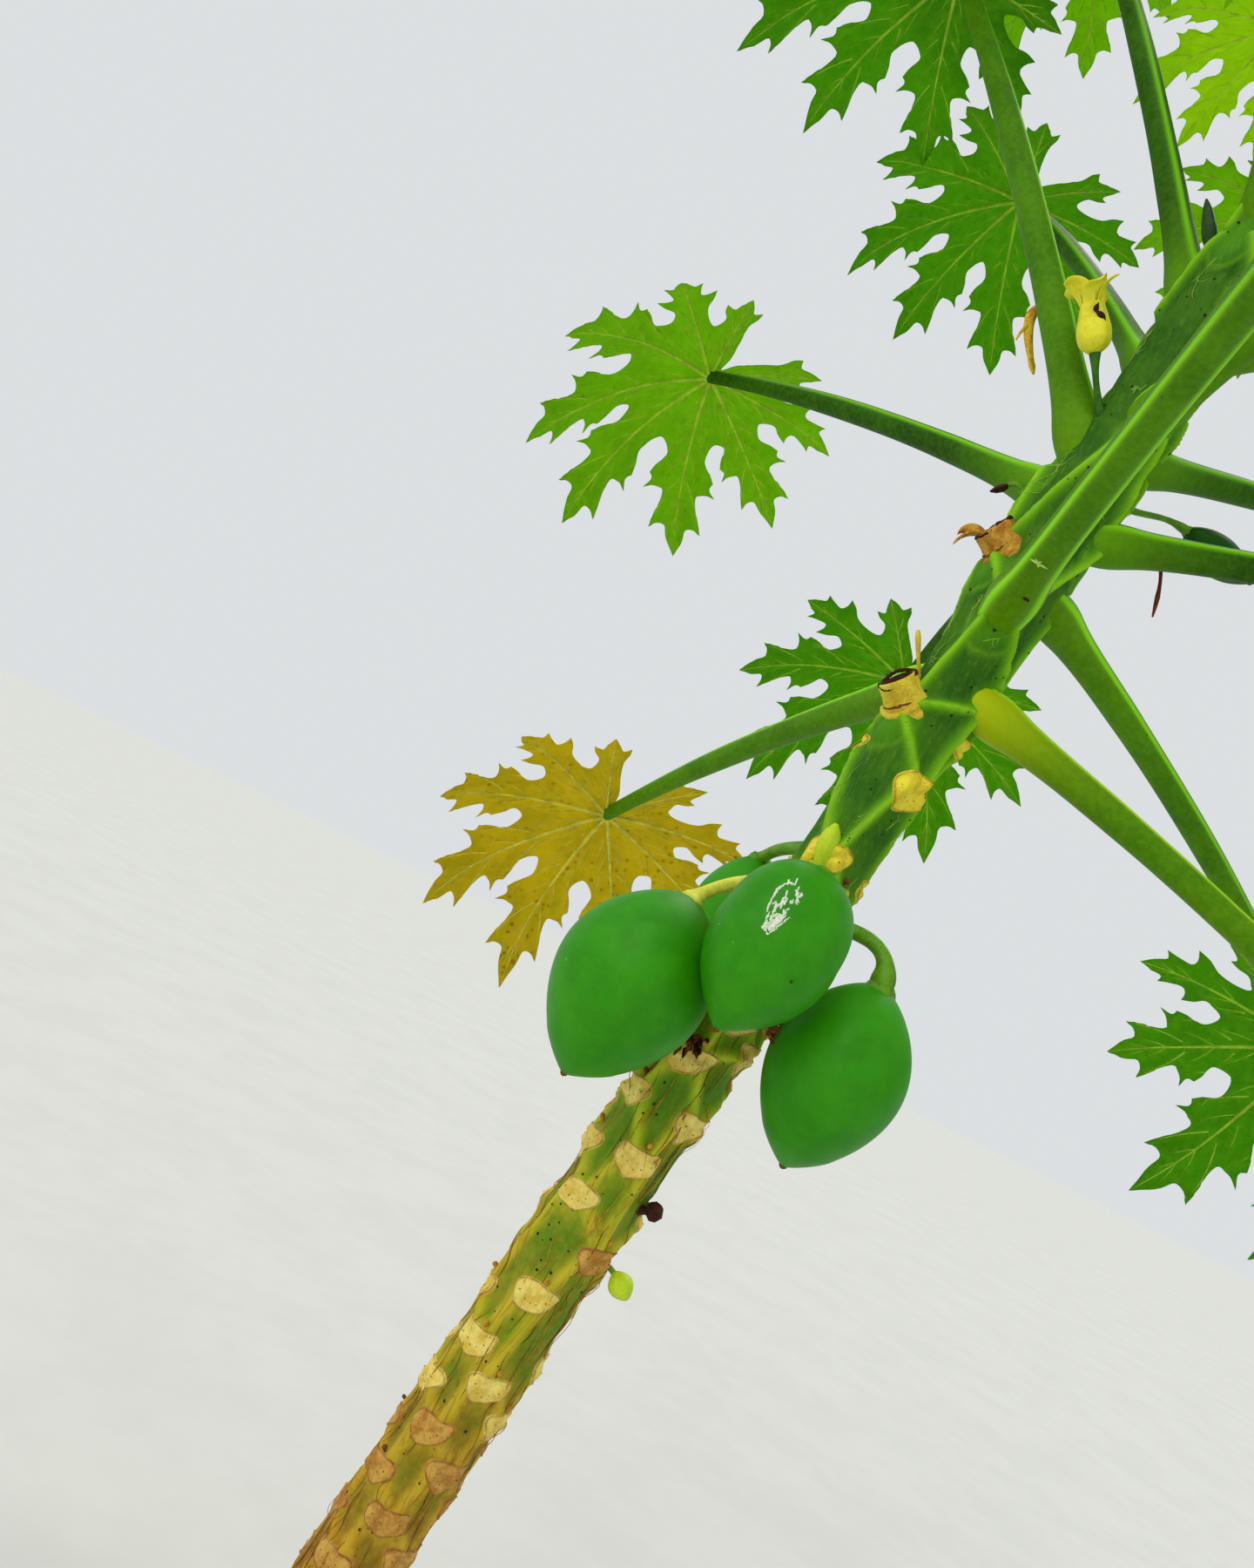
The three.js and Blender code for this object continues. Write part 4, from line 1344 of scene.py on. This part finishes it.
def fruitFinish(name, body, dark, pale):
    tree, shader, place = newFinish(name, 0.46, 0.18)
    colour = patchy(tree, place, 9.0, body, dark)[0]
    fine = mottle(tree, place, 85.0)
    colour = layer(tree, colour, pale, fine, 0.06)
    dots = specks(tree, place, 55.0, 0.07, 0.12)
    colour = layer(tree, colour, pale, dots, 0.7)
    bruise = specks(tree, place, 38.0, 0.07, 0.1)
    colour = layer(tree, colour, (40, 60, 4), bruise, 0.9)
    paint(tree, shader, colour, fine, 0.06, 0.0008)


fruitFinish("fruitGreen", (52, 150, 0), (40, 134, 0), (110, 196, 20))
fruitFinish("fruitDark", (22, 84, 2), (14, 62, 2), (60, 124, 14))


def fruitRadius(share, radius, coneFrom, shoulder=0):
    swell = np.sin(math.pi * np.clip(share, 0, 1) ** fruit["point"]) ** fruit["fullness"]
    # a shoulder rounds the end by the stalk
    fromTop = np.clip(1 - share / fruit["shoulderTo"], 0, 1)
    inner, outer, size = fruit["shoulderCurve"]
    domed = (1 - fromTop**inner) ** outer * size
    swell = swell + shoulder * np.where(share < fruit["shoulderTo"], domed - swell, 0)
    edge = math.sin(math.pi * coneFrom ** fruit["point"]) ** fruit["fullness"]
    t = np.clip((share - coneFrom) / (1 - coneFrom), 0, 1)
    cone = edge * (1 - t ** fruit["coneEase"])
    straight, rounded = fruit["tipBlend"]
    return radius * np.where(share > coneFrom, straight * cone + rounded * swell, swell)


def fruitAxes(plan):
    drop = unit(np.array(plan["hang"], float))
    return drop, *squareTo(drop)


def fruitTop(plan):
    return np.array(plan["middle"]) - fruitAxes(plan)[0] * plan["size"][0] / 2


def onFruit(plan, share, around, lift=0.0):
    # share runs from the stalk to the tip, around is in degrees from the fruit's upper side
    length, radius = plan["size"]
    drop, side, top = fruitAxes(plan)
    share, angle = np.asarray(share, float), np.radians(np.asarray(around, float))
    deep, slow = fruit["lobing"]
    lobing = 1 + deep * np.cos(5 * angle) * np.clip(1.1 - share, 0, 1) ** 0.5
    lobing = lobing + slow * np.sin(2 * angle + 4 * share)
    size = fruitRadius(share, radius, plan.get("blunt", fruit["coneFrom"]), plan.get("shoulder", 0))
    size = size * lobing + lift
    out = np.sin(angle)[..., None] * side + np.cos(angle)[..., None] * top
    return fruitTop(plan) + drop * (share * length)[..., None] + out * size[..., None]


def fruitStalkPath(plan):
    height, azimuth = plan["foot"]
    out, drop, top = direction(azimuth, 0), fruitAxes(plan)[0], fruitTop(plan)
    return bezier([trunkMiddle(height) + out * fruit["insideTrunk"],
                   trunkMiddle(height) + out * plan.get("knee", fruit["kneeReach"]),
                   top - drop * plan.get("neck", fruit["neckRise"]), top + drop * 0.010], 40)


def makeFruit(name, plan):
    bundle, rows, sides = newBundle(), fruit["stations"], fruit["sides"]
    share = 0.5 - 0.5 * np.cos(np.linspace(0.09, math.pi - 0.05, rows))
    around = np.arange(sides) * 360 / sides
    body = onFruit(plan, np.repeat(share, sides), np.tile(around, rows))
    length, radius = plan["size"]
    drop, start = fruitAxes(plan)[0], fruitTop(plan)
    tip = start + drop * length
    addPart(bundle, closeTube(body, rows, sides, start + drop * 0.004, tip), plan["slot"])
    thin = min(1, radius / 0.045) * plan.get("thick", 1)
    shape = smoothTable(fruit["stalkShape"], np.linspace(0, 1, 40))
    addPart(bundle, sweep(fruitStalkPath(plan), shape * fruit["stalkRadius"] * thin, 14,
                          profile=fluted(0.05, twist=3)), plan["stalkSlot"])
    # the five-sided collar where the stalk meets the fruit
    collar = [start - drop * 0.003 * thin, start + drop * 0.0015, start + drop * 0.006]
    addPart(bundle, sweep(collar, np.array(fruit["collar"]) * thin, 15, profile=fluted(0.12)),
            plan["stalkSlot"])
    # the dried remains of the flower at the tip
    addPart(bundle, sweep([tip - drop * 0.004, tip, tip + drop * 0.002],
                          np.array(fruit["remains"]) * max(thin, 0.6), 10, profile=fluted(0.3)), 4)
    piece = "youngFruit" if name == "young_fruit" else "fruit" + name.split("_")[1].capitalize()
    makePiece(piece, bundle, ["fruitGreen", "fruitStalkGreen", "fruitStalkPale", "fruitDark", "corkBrown"],
              [name])


for fruitName, fruitPlan in fruits.items():
    makeFruit(fruitName, fruitPlan)

latex = {"on": "fruit_front", "share": 0.368, "around": 31, "long": 0.056, "wide": 0.026, "lean": 0.02,
         "loops": 8, "strokes": 46, "lowStrokes": 22, "seed": 4}


def makeLatex():
    # dried milk from a scratch: a leaning loop of it on the skin, with drops and short strokes inside
    bundle, rng, plan = newBundle(), np.random.default_rng(latex["seed"]), fruits[latex["on"]]
    length, radius = plan["size"]

    def bead(u, v, thick):
        share = latex["share"] + u / length
        path = onFruit(plan, share, latex["around"] + np.degrees(v / radius), 0.0001)
        ends = graded(len(u), [0, 0.1, 0.85, 1], [0.3, 1, 1.1, 0.3])
        lumps = 1 + 0.35 * np.sin(np.linspace(0, 1, len(u)) * rng.uniform(14, 30) + rng.uniform(0, 6))
        addPart(bundle, sweep(path, thick * ends * lumps, 6))

    for loop in range(latex["loops"]):
        begin = rng.uniform(0, 6.28)
        t = np.linspace(begin, begin + rng.uniform(0.6, 1.9), 26)
        grow = rng.uniform(0.55, 1.0)
        u = 0.5 * latex["long"] * grow * np.cos(t) * (1 + 0.08 * np.sin(5 * t + loop))
        v = 0.5 * latex["wide"] * grow * np.sin(t) * (1 - 0.35 * np.cos(t)) + latex["lean"] * u
        bead(u, v + rng.normal(0, 0.0005, 26), rng.uniform(0.0006, 0.0013))
    for stroke in range(latex["strokes"]):
        low = stroke < latex["lowStrokes"]  # these thicken its lower end
        t = np.linspace(0, 1, 7)
        begin = rng.uniform(0.1, 0.44) if low else rng.uniform(-0.48, 0.1)
        u = (begin + rng.choice([-1, 1]) * rng.uniform(0.05, 0.17) * t) * latex["long"]
        room = latex["wide"] * (1 - 1.7 * max(begin, 0))
        v = rng.uniform(-0.36, 0.36) * room + rng.uniform(-0.003, 0.003) * t
        bead(u, v + latex["lean"] * u, rng.uniform(0.0008, 0.0018) if low else rng.uniform(0.0004, 0.0013))
    makePiece("latexMark", bundle, ["latexWhite"])


makeLatex()


# Flower, bud and stubs

blossom = {
    "flower": dict(foot=(1.722, -155), bend=(0.168, -0.246, 1.760), end=(0.140, -0.250, 1.862)),
    "flower_bud": dict(foot=(1.918, -168), bend=(0.238, -0.248, 1.940), end=(0.205, -0.252, 1.995)),
    "petals": 5,
    "tubeLong": 0.052,
    "tube": [(0, 0.005), (0.12, 0.0125), (0.4, 0.0172), (0.7, 0.0152), (1, 0.0118)],
    "stem": [(0, 0.0056), (0.3, 0.0046), (0.9, 0.0046), (1, 0.0062)],
    "bud": [(0, 0.0042), (0.42, 0.0032), (0.5, 0.0050), (0.62, 0.0072), (0.8, 0.0066), (0.95, 0.0034),
            (1, 0.0012)],
    "strip": [(0.120, -0.131, 1.890), (0.089, -0.134, 1.873), (0.116, -0.135, 1.833), (0.136, -0.136, 1.802)],
    "petalLong": 0.047,
    "petalWide": 0.025,
}


def blossomPath(plan, count):
    root = trunkMiddle(plan["foot"][0]) + direction(plan["foot"][1], 0) * fruit["insideTrunk"]
    return bezier([root, plan["bend"], plan["end"]], count)


def spokes(axis, count, first):
    # directions round the axis for a ring of petals, from the first angle on
    side = unit(np.cross(axis, [0.0, 1.0, 0.0]))
    angles = first + ringAngles(count)
    return np.cos(angles)[:, None] * side + np.sin(angles)[:, None] * np.cross(side, axis)


def addPetal(bundle, foot, axis, away, length, width, curl, slot, twist=0.0):
    # a thick waxy petal that rises along the axis and rolls back outwards
    t = np.linspace(0, 1, 18)
    across = np.linspace(-1, 1, 9)
    bend = curl * t**1.6
    rise = np.cumsum(np.cos(bend)) / len(t) * length
    out = np.cumsum(np.sin(bend)) / len(t) * length
    side = np.cross(axis, away)
    middle = foot + rise[:, None] * axis + (0.004 + out)[:, None] * away
    half = width * 0.5 * np.sin(math.pi * np.clip(0.12 + 0.84 * t, 0, 1)) ** 0.6
    inward = unit(np.cos(bend)[:, None] * -away + np.sin(bend)[:, None] * axis)
    lean = np.cos(twist * t)[:, None] * side + np.sin(twist * t)[:, None] * inward
    cup = 0.25 * half[:, None] * (across[None, :] ** 2)
    top = middle[:, None] + (half[:, None] * across)[..., None] * lean[:, None]
    top = top + cup[..., None] * inward[:, None]
    under = top - inward[:, None] * 0.0011
    rows, columns = len(t), len(across)
    r, c = np.meshgrid(np.arange(rows - 1), np.arange(columns - 1), indexing="ij")
    a = (r * columns + c).ravel()
    upper = np.stack([a, a + 1, a + 1 + columns, a + columns], -1)
    n = rows * columns
    lower = upper[:, ::-1] + n
    edge = np.concatenate([np.arange(columns), np.arange(1, rows) * columns + columns - 1,
                           (rows - 1) * columns + np.arange(columns - 2, -1, -1),
                           np.arange(rows - 2, 0, -1) * columns])
    nextEdge = np.roll(edge, -1)
    band = np.stack([edge, edge + n, nextEdge + n, nextEdge], -1)
    addPart(bundle, (np.vstack([top.reshape(-1, 3), under.reshape(-1, 3)]), [upper, lower, band]), slot)


def addWithered(bundle, strip):
    # a withered flower behind a leaf stalk: its own stalk, and one petal that curls out and hangs
    root = trunkMiddle(1.74) + direction(140, 0) * 0.03
    addRod(bundle, 1, [root, (0.178, -0.150, 1.800), strip[0]], 24, [0, 0.8, 1], [0.005, 0.0036, 0.005], 9)
    split = bezier(strip, 24)[11]
    addRod(bundle, 2, [split, split + [-0.006, -0.002, -0.004], [0.101, -0.139, 1.829]], 10, [0, 1],
           [0.0030, 0.0012], 8)
    addRod(bundle, 2, strip, 24, [0, 0.3, 0.85, 0.93, 1], [0.005, 0.0072, 0.0036, 0.0044, 0.0012], 10,
           lambda angle, along: 0.45 + 0.55 * np.abs(np.cos(angle + 2 * along)))


def makeFlower():
    bundle, path = newBundle(), blossomPath(blossom["flower"], 60)
    addPart(bundle, sweep(path[:35], smoothTable(blossom["stem"], np.linspace(0, 1, 35)), 10), 1)
    axis = unit(unit(path[56] - path[36]) + np.array([-0.13, 0, -0.06]))
    foot = path[34]
    side = unit(np.cross(axis, [0.0, 1.0, 0.0]))
    front = np.cross(side, axis)
    # five small sepals, then the swollen body, then the petals that roll back
    for away in spokes(axis, blossom["petals"], 0.3):
        addPetal(bundle, foot, axis, away, 0.014, 0.010, 0.5, 1)
    share = np.linspace(0, 1, 18)
    body = smoothTable(blossom["tube"], share)
    addPart(bundle, turned(foot, axis, np.stack([share * blossom["tubeLong"], body], 1), 30, fluted(0.06)), 0)
    crown = foot + axis * blossom["tubeLong"]
    for i, away in enumerate(spokes(axis, blossom["petals"], 1.1)):
        curl = 1.75 + 0.5 * math.sin(3 * (2 * math.pi * i / blossom["petals"] + 1.1))
        addPetal(bundle, crown - axis * 0.012 + away * 0.003, axis, away, blossom["petalLong"],
                 blossom["petalWide"], curl, 0, twist=0.45)
    # the pale pistil between them, and a brown bruise on the tube
    addPart(bundle, turned(crown, axis, [(-0.01, 0.004), (0, 0.005), (0.01, 0.004), (0.016, 0.002)], 10), 0)
    t = np.linspace(0, 1, 14)[:, None]
    around = -1.62 + 0.26 * np.sin(5 * t)
    out = np.cos(around) * side + np.sin(around) * front
    bruise = foot + axis * (0.048 - 0.022 * t) + out * (0.0142 + 0.003 * t)
    breadth = 0.0026 * (0.5 + np.abs(np.sin(7 * t))) * np.sin(0.2 + 2.8 * t)
    addPart(bundle, sweep(bruise, breadth[:, 0], 8, upward=front), 3)
    addWithered(bundle, blossom["strip"])
    makePiece("flowerOpen", bundle, ["petalYellow", "calyxGreen", "petalWarm", "darkCork"],
              ["flower"])


def makeBud():
    bundle, path = newBundle(), blossomPath(blossom["flower_bud"], 50)
    radii = smoothTable(blossom["bud"], np.linspace(0, 1, 50))
    addPart(bundle, sweep(path, radii, 18, profile=fluted(0.08, twist=6)), 0)
    axis = unit(path[30] - path[24])
    for away in spokes(axis, 5, 0):
        addPetal(bundle, path[23], axis, away, 0.009, 0.006, 0.3, 1)
    makePiece("flowerBud", bundle, ["budGreen", "calyxGreen"], ["flower_bud"])


makeFlower()
makeBud()


stubShape = {"shorten": 0.80, "widen": 1.08, "seam": 0.62, "sides": 40,
             "slant": {"stub_lower": 0.22}, "low": (0.2, -0.7, -0.7),
             # place along it and radius: the stump up to its broken edge, then the dark hollow
             "profile": [(0, 1.3), (0.5, 1.25), (0.62, 1.12), (0.8, 1.0), (0.95, 0.98), (1.0, 0.94),
                         (1.02, 0.84), (1.0, 0.70), (0.92, 0.56), (0.86, 0.3)],
             "skinRows": 6}  # bands of faces that belong to the stump


def addRing(bundle, middle, axis, radius, thick, begin, end, rng, slot):
    # an uneven raised line round a stub
    side, lift = squareTo(axis)
    angle = np.radians(np.linspace(begin, end, 40))
    ring = np.cos(angle)[:, None] * side + np.sin(angle)[:, None] * lift
    wander = 0.0012 * np.sin(angle * 3 + rng.uniform(0, 6)) + rng.normal(0, 0.0004, 40)
    path = middle + ring * radius + axis * wander[:, None]
    taper = graded(40, [0, 0.12, 0.88, 1], [0.3, 1, 1, 0.3])
    addPart(bundle, sweep(path, thick * taper * (1 + rng.normal(0, 0.12, 40)), 8, upward=axis), slot)


def makeStub(name, piece):
    height, azimuth, reach, radius = stubs[name]
    start, out = trunkMiddle(height), direction(azimuth, 30)
    bundle, rng = newBundle(), np.random.default_rng(int(height * 1000))
    long, radius = reach * stubShape["shorten"], radius * stubShape["widen"]
    ragged = rng.normal(0, 0.02, stubShape["sides"])

    def outer(angle, along):
        return 1 + 0.03 * np.cos(3 * angle + 1) + ragged[None, :] * along**3 + 0.05 * np.cos(angle) * along

    shape = [(share * long, size * radius) for share, size in stubShape["profile"]]
    points, (walls, low, high) = turned(start, out, shape, stubShape["sides"], outer)
    # its broken end slants, farthest out on the low side
    lowSide = unit(np.cross(np.cross(out, stubShape["low"]), out))
    places = [share for share, size in stubShape["profile"]]
    slant = np.repeat(np.interp(places, [0.6, 0.9], [0, 1]), stubShape["sides"])
    slant = slant * stubShape["slant"].get(name, 0) * ((points[:len(slant)] - start) @ lowSide)
    points[:len(slant)] += slant[:, None] * out
    cut = stubShape["skinRows"] * stubShape["sides"]
    skin = 0 if name == "stub_lower" else 3
    addPart(bundle, (points, [walls[:cut], low, walls[cut:], high]), (skin, skin, 1, 1),
            rim=np.zeros(len(points)))
    addRing(bundle, start + out * long * 0.985, out, radius * 0.95, 0.0021, 20, 200, rng, 1)
    addRing(bundle, start + out * long * 0.995, out, radius * 0.92, 0.0014, 200, 380, rng, 1)
    seam = start + out * long * stubShape["seam"]
    addRing(bundle, seam + out * 0.0035, out, radius * 1.09, 0.0011, 150, 350, rng, 2)
    addRing(bundle, seam - out * 0.004, out, radius * 1.17, 0.0042, 160, 350, rng, skin)
    if name == "stub_lower":
        # the dry flower stalk in the angle above it
        rod = [(0.166, -0.186, 1.388), (0.152, -0.190, 1.405), (0.140, -0.192, 1.430), (0.129, -0.195, 1.452)]
        addRod(bundle, 0, rod, 18, [0, 0.2, 0.6, 0.8, 0.92, 1],
               [0.004, 0.0023, 0.0020, 0.0029, 0.0032, 0.0018], 12)
    else:
        # a curl of dry skin on its edge, and a green flower stalk with a withered end
        edge = start + out * long - [0, 0, radius * 0.5]
        for twist, (sway, thick) in enumerate(((0.010, 0.0062), (-0.002, 0.0044))):
            curl = [edge - out * 0.006, edge + out * 0.012 + [-0.006, 0, 0.002],
                    edge + out * 0.008 + [-0.022, 0, sway - 0.016],
                    edge - out * 0.002 + [-0.032, 0.004, sway - 0.020]]
            addRod(bundle, 3, curl, 16, [0, 0.3, 0.8, 1], thick * np.array([0.8, 1, 0.6, 0.1]), 9,
                   lambda a, s: 0.3 + 0.7 * np.abs(np.cos(a + 3 * s + twist)))
        rod = [(0.200, -0.188, 1.590), (0.184, -0.184, 1.628), (0.168, -0.187, 1.664), (0.151, -0.186, 1.642)]
        rod = addRod(bundle, 4, rod, 22, [0, 0.15, 0.9, 1], [0.0056, 0.0038, 0.0030, 0.0024], 10)
        end = [(-0.002, 0.003), (0.004, 0.0044), (0.011, 0.0036), (0.018, 0.0008)]
        addPart(bundle, turned(rod[-1], rod[-1] - rod[-3], end, 9, fluted(0.2, 3)), 1)
    makePiece(piece, bundle, ["stubTan", "darkCork", "corkBrown", "dryStraw", "fruitStalkGreen"],
              [name])


makeStub("stub_lower", "stalkStubLower")
makeStub("stub_upper", "stalkStubUpper")


# Small things in the leaf angles and the unopened leaves at the tip

axils = {
    "bud": dict(height=1.178, azimuth=-110, long=0.052, radius=0.0112),
    "roundFruit": dict(height=0.716, azimuth=-22, radius=0.0135),
    "driedStalk": dict(height=1.600, azimuth=8),
    "knob": dict(height=0.782, azimuth=-26),
    "flakes": dict(count=9, place=(0.163, -0.205, 1.012), away=(0.6, -0.3, -0.2), seed=31),
}


def makeAxils():
    bundle = newBundle()
    plan = axils["bud"]
    foot = barkPoint(plan["height"], plan["azimuth"], -0.002)
    out = direction(plan["azimuth"], 78)
    t = np.linspace(0, 1, 22)
    swell = plan["radius"] * smoothTable([(0, 0.5), (0.2, 0.8), (0.55, 1), (0.85, 0.66), (1, 0.2)], t)
    addPart(bundle, turned(foot, out, np.stack([plan["long"] * t, swell], 1), 16, fluted(0.06)), 0)
    plan = axils["roundFruit"]
    foot = barkPoint(plan["height"], plan["azimuth"], -0.002)
    out = direction(plan["azimuth"], -12)
    addRod(bundle, 1, [foot, foot + out * 0.006, foot + out * 0.014 + [0, 0, -0.002]], 10, [0], [0.0032], 8)
    tipOut = unit(out + [0, 0, -0.5])
    ball = foot + out * 0.012 + tipOut * (0.030 * t)[:, None]
    addPart(bundle, sweep(ball, plan["radius"] * np.sin(math.pi * (0.04 + 0.94 * t)) ** 0.7, 20), 0)
    plan = axils["driedStalk"]
    foot = barkPoint(plan["height"], plan["azimuth"], -0.003)
    addRod(bundle, 2, [foot, (0.330, -0.190, 1.672), (0.343, -0.187, 1.650), (0.354, -0.182, 1.584)], 18,
           [0, 0.8, 0.9, 1], [0.003, 0.0018, 0.0030, 0.001], 8)
    plan = axils["knob"]
    foot = barkPoint(plan["height"], plan["azimuth"], -0.002)
    shape = [(0, 0.006), (0.005, 0.0046), (0.010, 0.0044), (0.014, 0.0088), (0.021, 0.0096), (0.026, 0.0070),
             (0.027, 0.0020)]
    addPart(bundle, turned(foot, direction(plan["azimuth"], 20), shape, 14, fluted(0.14, twist=5)), 4)
    # dry flower remains caught between the front fruit and the trunk
    plan = axils["flakes"]
    rng = np.random.default_rng(plan["seed"])
    for flake in range(plan["count"]):
        root = plan["place"] + rng.normal(0, 0.006, 3)
        away = unit(plan["away"] + rng.normal(0, 0.5, 3))
        addPetal(bundle, root, away, unit(np.cross(away, [0.3, 0.2, 1.0])), rng.uniform(0.014, 0.024), 0.008,
                 rng.uniform(0.5, 1.8), 3 if flake % 3 else 5, twist=rng.uniform(-1, 1))
    makePiece("axilBuds", bundle,
              ["budPale", "fruitStalkGreen", "dryRed", "corkBrown", "darkCork", "dryStraw"])


makeAxils()

apex = {
    "count": 9,
    "firstHeight": 2.086,
    "spacing": 0.0125,
    "azimuth": -40,
    "rise": 62,
    "riseStep": 2.6,
    "long": 0.150,
    "shortening": 0.011,
    "thick": 0.0052,
    "thinning": 0.00034,
    "folds": (-2, -1, 0, 1, 2),
    "foldSpread": 0.32,
    "seed": 70,
}


def makeApex():
    # the unopened leaves: short stalks, each with a few pleated folds hanging together
    bundle, rng = newBundle(), np.random.default_rng(apex["seed"])
    for i in range(apex["count"]):
        azimuth, rise = apex["azimuth"] + spiral["turn"] * i, apex["rise"] + apex["riseStep"] * i
        long = apex["long"] - apex["shortening"] * i
        start, out = trunkMiddle(apex["firstHeight"] + apex["spacing"] * i), direction(azimuth, rise)
        end = start + out * long
        thick = apex["thick"] - apex["thinning"] * i
        addRod(bundle, 0, [start, start + out * long * 0.5 + [0, 0, 0.01], end], 16, [0, 0.15, 1],
               [thick * 1.7, thick, thick * 0.6], 12)
        for fold in apex["folds"]:
            turn = fold * apex["foldSpread"]
            level = turn + math.radians(azimuth)
            away = unit(out + 0.55 * np.array([math.cos(level), math.sin(level), 0]))
            length = long * (0.42 - 0.05 * abs(fold)) * rng.uniform(0.9, 1.1)
            addPetal(bundle, end - out * 0.004, away, unit(np.cross(away, [math.sin(turn), 0.2, 1.0])),
                     length, length * 0.30, 0.9, 1, twist=rng.uniform(-0.8, 0.8))
    makePiece("apexLeaves", bundle, ["fruitStalkGreen", "leafTender"])


makeApex()


# Floor, light and background

stageSet = {
    "floor": 60.0,  # its radius
    "floorSides": 96,
    "floorColour": (197, 198, 196),
    "floorPatches": (193, 194, 192),
    "worldColour": (236, 240, 242),
    "world": 0.85,
    # where each light stands, seen from the tree: azimuth, rise, its softness in degrees, strength
    "suns": [(70, 62, 35, 1.60, (255, 250, 236)), (-128, 38, 45, 0.85, (255, 252, 244))],
}


def makeStage():
    around = ringAngles(stageSet["floorSides"])
    ring = np.stack([np.cos(around), np.sin(around), np.zeros(len(around))], -1) * stageSet["floor"]
    mesh = bpy.data.meshes.new("floor")
    mesh.from_pydata([tuple(p) for p in ring], [], [tuple(range(len(ring)))])
    tree, shader, place = newFinish("floorPaper", 0.9, 0.2)
    colour = patchy(tree, place, 3.0, stageSet["floorColour"], stageSet["floorPatches"])[0]
    tree.links.new(colour, shader.inputs["Base Color"])
    mesh.materials.append(finishes["floorPaper"])
    floor = bpy.data.objects.new("floor", mesh)
    bpy.context.scene.collection.objects.link(floor)
    world = bpy.data.worlds.new("studio")
    world.use_nodes = True
    back = world.node_tree.nodes["Background"]
    back.inputs["Color"].default_value = tint(*stageSet["worldColour"])
    back.inputs["Strength"].default_value = stageSet["world"]
    bpy.context.scene.world = world
    for i, (azimuth, rise, softness, strength, colour) in enumerate(stageSet["suns"]):
        data = bpy.data.lights.new(f"softLight{i}", "SUN")
        data.angle, data.energy, data.color = math.radians(softness), strength, tint(*colour)[:3]
        lamp = bpy.data.objects.new(f"softLight{i}", data)
        lamp.rotation_euler = Vector(-direction(azimuth, rise)).to_track_quat("-Z", "Y").to_euler()
        bpy.context.scene.collection.objects.link(lamp)
    bpy.context.scene.view_settings.view_transform = "Standard"


makeStage()
print("floor and lights made")
print("all pieces:", total["triangles"], "triangles")
